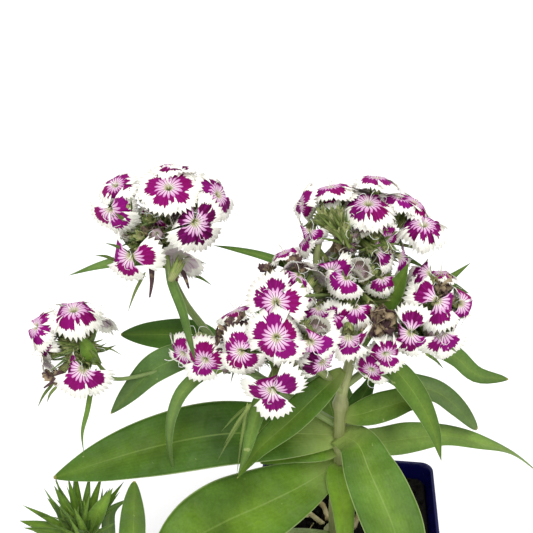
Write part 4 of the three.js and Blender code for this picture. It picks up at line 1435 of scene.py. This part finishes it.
# %% Top head
build_head(
    "top_flower_head",
    hub=[0, 12, 245], dome=17, spent_cups=26, fading=5, fading_side=(-180, -100),
    flowers=[
        [0, 4, 262, -95, 78, 15, (152, 45), (238, 48), (306, 48), (28, 50), (92, 35)],
        [3, 15, 268, 80, 76, 12.5, (28, 45), (100, 50), (172, 40), (245, 30), (316, 30)],
        [-15, 11, 265, 130, 72, 12.5, (5, 40), (78, 40), (150, 30), (225, 30), (300, 30)],
        [-26, 7, 259, -165, 5, 11.5, (220, -10), (260, 60), (340, 110), (60, 50), (140, 50)],
        [13, 14, 260, 40, 74, 12, (20, 30), (92, 45), (160, 40), (235, 30), (310, 30)],
        [19, 15, 258, 0, 62, 11.5, (205, 30), (275, 45), (345, 30), (50, 30), (125, 30)],
        [22, 4, 254, -80, 78, 14.5, (238, 74), (296, 72), (350, 64), (55, 50), (165, 60)],
        [-22, -4, 253, -95, 10, 10, (330, 40), (200, 100)],
        [8, 1, 248, -60, -20, 10, (85, 60), (340, 10)],
        [-13, 12, 262, 170, 70, 12], [-32, -1, 241, 160, 60, 9], [-24, 1, 246, 180, 45, 9],
        [-6, 24, 257, 95, 40, 11.5], [12, 25, 254, 70, 30, 11.5], [2, 27, 242, 90, -5, 11.5]],
    set_cups=[
        [-20, -2, 263, -160, 55], [-16, -3, 263, -150, 60], [-12, -3, 264, -120, 70],
        [-18, -4, 258, -155, 45], [-13, -5, 258, -130, 55], [-9, -4, 259, -110, 75],
        [-22, -1, 259, -170, 40], [-6, -3, 255, -90, 60], [4, -2, 254, -80, 60], [9, 0, 253, -70, 50]],
    withered=[[-10, 2, 243], [4, 4, 240]],
    awns=[[[-4, 0, 244], [-21, -4, 250]], [[-2, 0, 243], [14, 2, 246]],
          [[-6, -2, 244], [-14, -5, 262]], [[-8, -2, 246], [-19, -6, 261]]],
    old_stalk=[[-6, -8, 202], [-14, -6, 223], [-19, -4, 239], [-18, 0, 248], [-15, 3, 256]])

# %% [markdown]
# In the middle, between the other heads, flowers are mostly over: single petals, spent cups and
# withered flowers.

# %% Middle head
build_head(
    "middle_flower_head",
    hub=[-3, 1, 224], dome=18, spent_cups=30, fading=7, fading_side=(-180, -80),
    flowers=[
        [-13, -12, 239, -80, 30, 14, (14, 25), (100, 120)],
        [4, -1, 244, -60, 30, 13, (322, 25), (40, 70)],
        [14, 2, 240, -40, 10, 12, (290, 20), (5, 60)],
        [-7, -16, 240, -85, 55, 12, (197, 55), (280, 60)],
        [-12, -19, 226, -90, 55, 13, (245, 55), (300, 55)],
        [-3, -17, 228, -80, 55, 13, (270, 55), (320, 70)],
        [-17, -20, 228, -100, 25, 12, (235, 15), (290, 60)],
        [-25, -17, 241, -95, 35, 11, (275, 15), (215, 40)],
        [7, -4, 234, -70, 50, 11, (240, 50), (310, 50)],
        [-27, -12, 240, 110, 25, 10, (250, 15), (320, 5), (180, 20), (110, 30), (35, 30)],
        [-19, -11, 238, 60, 30, 9, (250, 15), (320, 5), (180, 20), (110, 30), (35, 30)],
        [-18, 14, 228, 140, 10, 11], [4, 18, 226, 80, 0, 11]],
    set_cups=[
        [-11, -12, 238, -60, 55], [-16, -11, 240, -120, 60], [-3, -9, 240, -80, 60],
        [4, -6, 239, -60, 55], [8, -4, 236, -50, 40], [12, -2, 234, -40, 50],
        [0, -10, 236, -90, 40], [-19, -14, 233, -110, 30], [9, -9, 231, -60, 30]],
    withered=[[6, -15, 223], [9, -13, 221], [3, -17, 220], [10, -14, 216], [6, -17, 217],
              [-26, -12, 242]])

# %% [markdown]
# The right head has two large flowers that face the front, and smaller ones under and behind them.

# %% Right head
build_head(
    "right_flower_head",
    hub=[24, 3, 208], dome=17, spent_cups=26, fading=3, fading_side=(-150, -60),
    flowers=[
        [26, -2, 236, -110, 70, 14, (205, 58), (160, 70)],
        [29, -10, 228, -80, 42, 15.5, (145, 30), (345, 80), (278, 30)],
        [40, 0, 221, -60, 30, 13, (262, 75), (320, 60), (50, 80)],
        [33, -8, 212, -80, 30, 15.5, (245, 40), (300, 40)],
        [19, -19, 218, -95, 20, 14.5, (88, 35), (252, 45), (305, 60), (190, 110)],
        [10, -23, 210, -80, -15, 12.5, (290, -10), (20, 90), (80, 110), (145, 110), (215, 60)],
        [5, -19, 199, -105, -15, 11, (230, 35), (285, 10), (5, 55), (85, 55), (160, 55)],
        [35, 0, 200, -100, -30, 10], [31, 5, 232, 100, 75, 9], [33, 14, 222, 60, 30, 11.5],
        [20, 18, 216, 100, 10, 11.5], [40, 10, 209, 20, 0, 10]],
    withered=[[31, 0, 230], [33, -2, 226]],
    awns=[[[26, -15, 206], [34, -17, 200]], [[33, -7, 205], [40, -8, 202]]])

# %% [markdown]
# ## Bud head
# The side shoot ends in a tuft of narrow pointed leaves that hides its unopened buds. Hair particles
# could make it, but the tuft's own leaves are as wide as blades, so it is built from blades too: the
# twelve of its solid, each given by its tip and its half width, and grassy ones between them.

# %% Bud head
BUD_MIDDLE = np.array([-115.0, -46.0, 116.0])
BUD_BLADES = [
    [-138, -49, 139, 1.6], [-142, -47, 127, 3.3], [-137, -54, 131, 2.0], [-129, -44, 139, 2.2],
    [-123, -48, 151, 2.2], [-120, -40, 148, 1.8], [-111, -38, 149, 2.0], [-99, -45, 149, 3.6],
    [-118, -36, 149, 1.6], [-106, -37, 148, 2.0], [-128, -36, 134, 1.9], [-102, -58, 132, 1.8]]
BUD_FACES = (0.2, -0.9, 0.4)


def bud_tuft():
    """The wide blades of the solid, and grassy ones between them."""
    grids = []
    for *tip, half in BUD_BLADES:
        tip = np.array(tip, float)
        middle = (BUD_MIDDLE + tip) / 2 + UP * 2
        grids.append(blade([BUD_MIDDLE, middle, tip], half, BUD_FACES, fold=0.35,
                           tone=random.uniform(0.4, 0.8), bloom=random.uniform(0, 0.15), rows=16, columns=7))
    for _ in range(90):
        reach = direction(random.uniform(0, 360), random.uniform(35, 85)) * random.uniform(14, 30)
        start = BUD_MIDDLE + random.uniform(-4, 4, 3)
        grids.append(blade([start, start + reach * 0.5 + random.uniform(-1, 1, 3), start + reach],
                           random.uniform(0.9, 1.8), BUD_FACES, fold=0.4,
                           tone=random.uniform(0.2, 1), bloom=random.uniform(0, 0.2), rows=8, columns=4))
    return grids


make_piece("bud_head_tuft", bud_tuft(), LEAF, ["bud_head"])

# %% [markdown]
# ## Floor, light and camera
# A plain white floor and soft light, as in a small studio. Area lamps would leave bright spots on the
# floor, so the light is a pale sky and one distant lamp with a wide disc, from above and in front.


# %% Floor, sky and lamp
def white_floor():
    """A plane far wider than the view, a little below the pot."""
    bpy.ops.mesh.primitive_plane_add(size=12, location=(0, 3, -0.0005))
    floor = bpy.context.object
    floor.name = "floor"
    paper, _, shader = new_material("paper", 0.9)
    plug((1.0, 1.0, 1.0), shader["Base Color"])
    floor.data.materials.append(paper)


def pale_sky(strength):
    """An even white sky."""
    world = bpy.data.worlds.new("studio")
    world.use_nodes = True
    background = world.node_tree.nodes["Background"].inputs
    plug((1.0, 1.0, 1.0), background["Color"])
    plug(strength, background["Strength"])
    bpy.context.scene.world = world


def soft_sun(name, bearing, height, strength, width):
    """A distant lamp with a wide disc, which lights the whole floor evenly. Angles are in degrees."""
    light = bpy.data.lights.new(name, "SUN")
    light.energy, light.angle = strength, math.radians(width)
    lamp = bpy.data.objects.new(name, light)
    lamp.rotation_euler = (math.radians(90 - height), 0, math.radians(bearing + 90))
    bpy.context.collection.objects.link(lamp)


white_floor()
pale_sky(0.80)
soft_sun("key", bearing=-72, height=62, strength=2.0, width=40)
print("lamps:", len(bpy.data.lights))

# %% [markdown]
# The camera looks down on the plant from the front, as someone does who stands before it. A longer
# lens from further away would flatten the pot, so the eye is near and the lens is only a little long:
# its focal length is 800 parts where the picture's width is 533.

# %% Camera
SENSOR_WIDTH = 36
FOCAL_PARTS, WIDTH_PARTS = 800, 533
EYE = (-0.0099, -0.2797, 0.3958)
LOOKS_DOWN, TURNED = 30, 6


def set_camera():
    """A camera at the eye, in metres, that looks down and is turned to the left, in degrees."""
    camera = bpy.data.objects.new("camera", bpy.data.cameras.new("camera"))
    camera.data.sensor_width = SENSOR_WIDTH
    camera.data.lens = SENSOR_WIDTH * FOCAL_PARTS / WIDTH_PARTS
    camera.data.clip_start = 0.01
    camera.location = EYE
    camera.rotation_euler = (math.radians(90 - LOOKS_DOWN), 0, math.radians(TURNED))
    bpy.context.collection.objects.link(camera)
    bpy.context.scene.camera = camera
    print("lens in millimetres:", round(camera.data.lens, 1))


set_camera()
bpy.context.scene.view_settings.view_transform = "Standard"
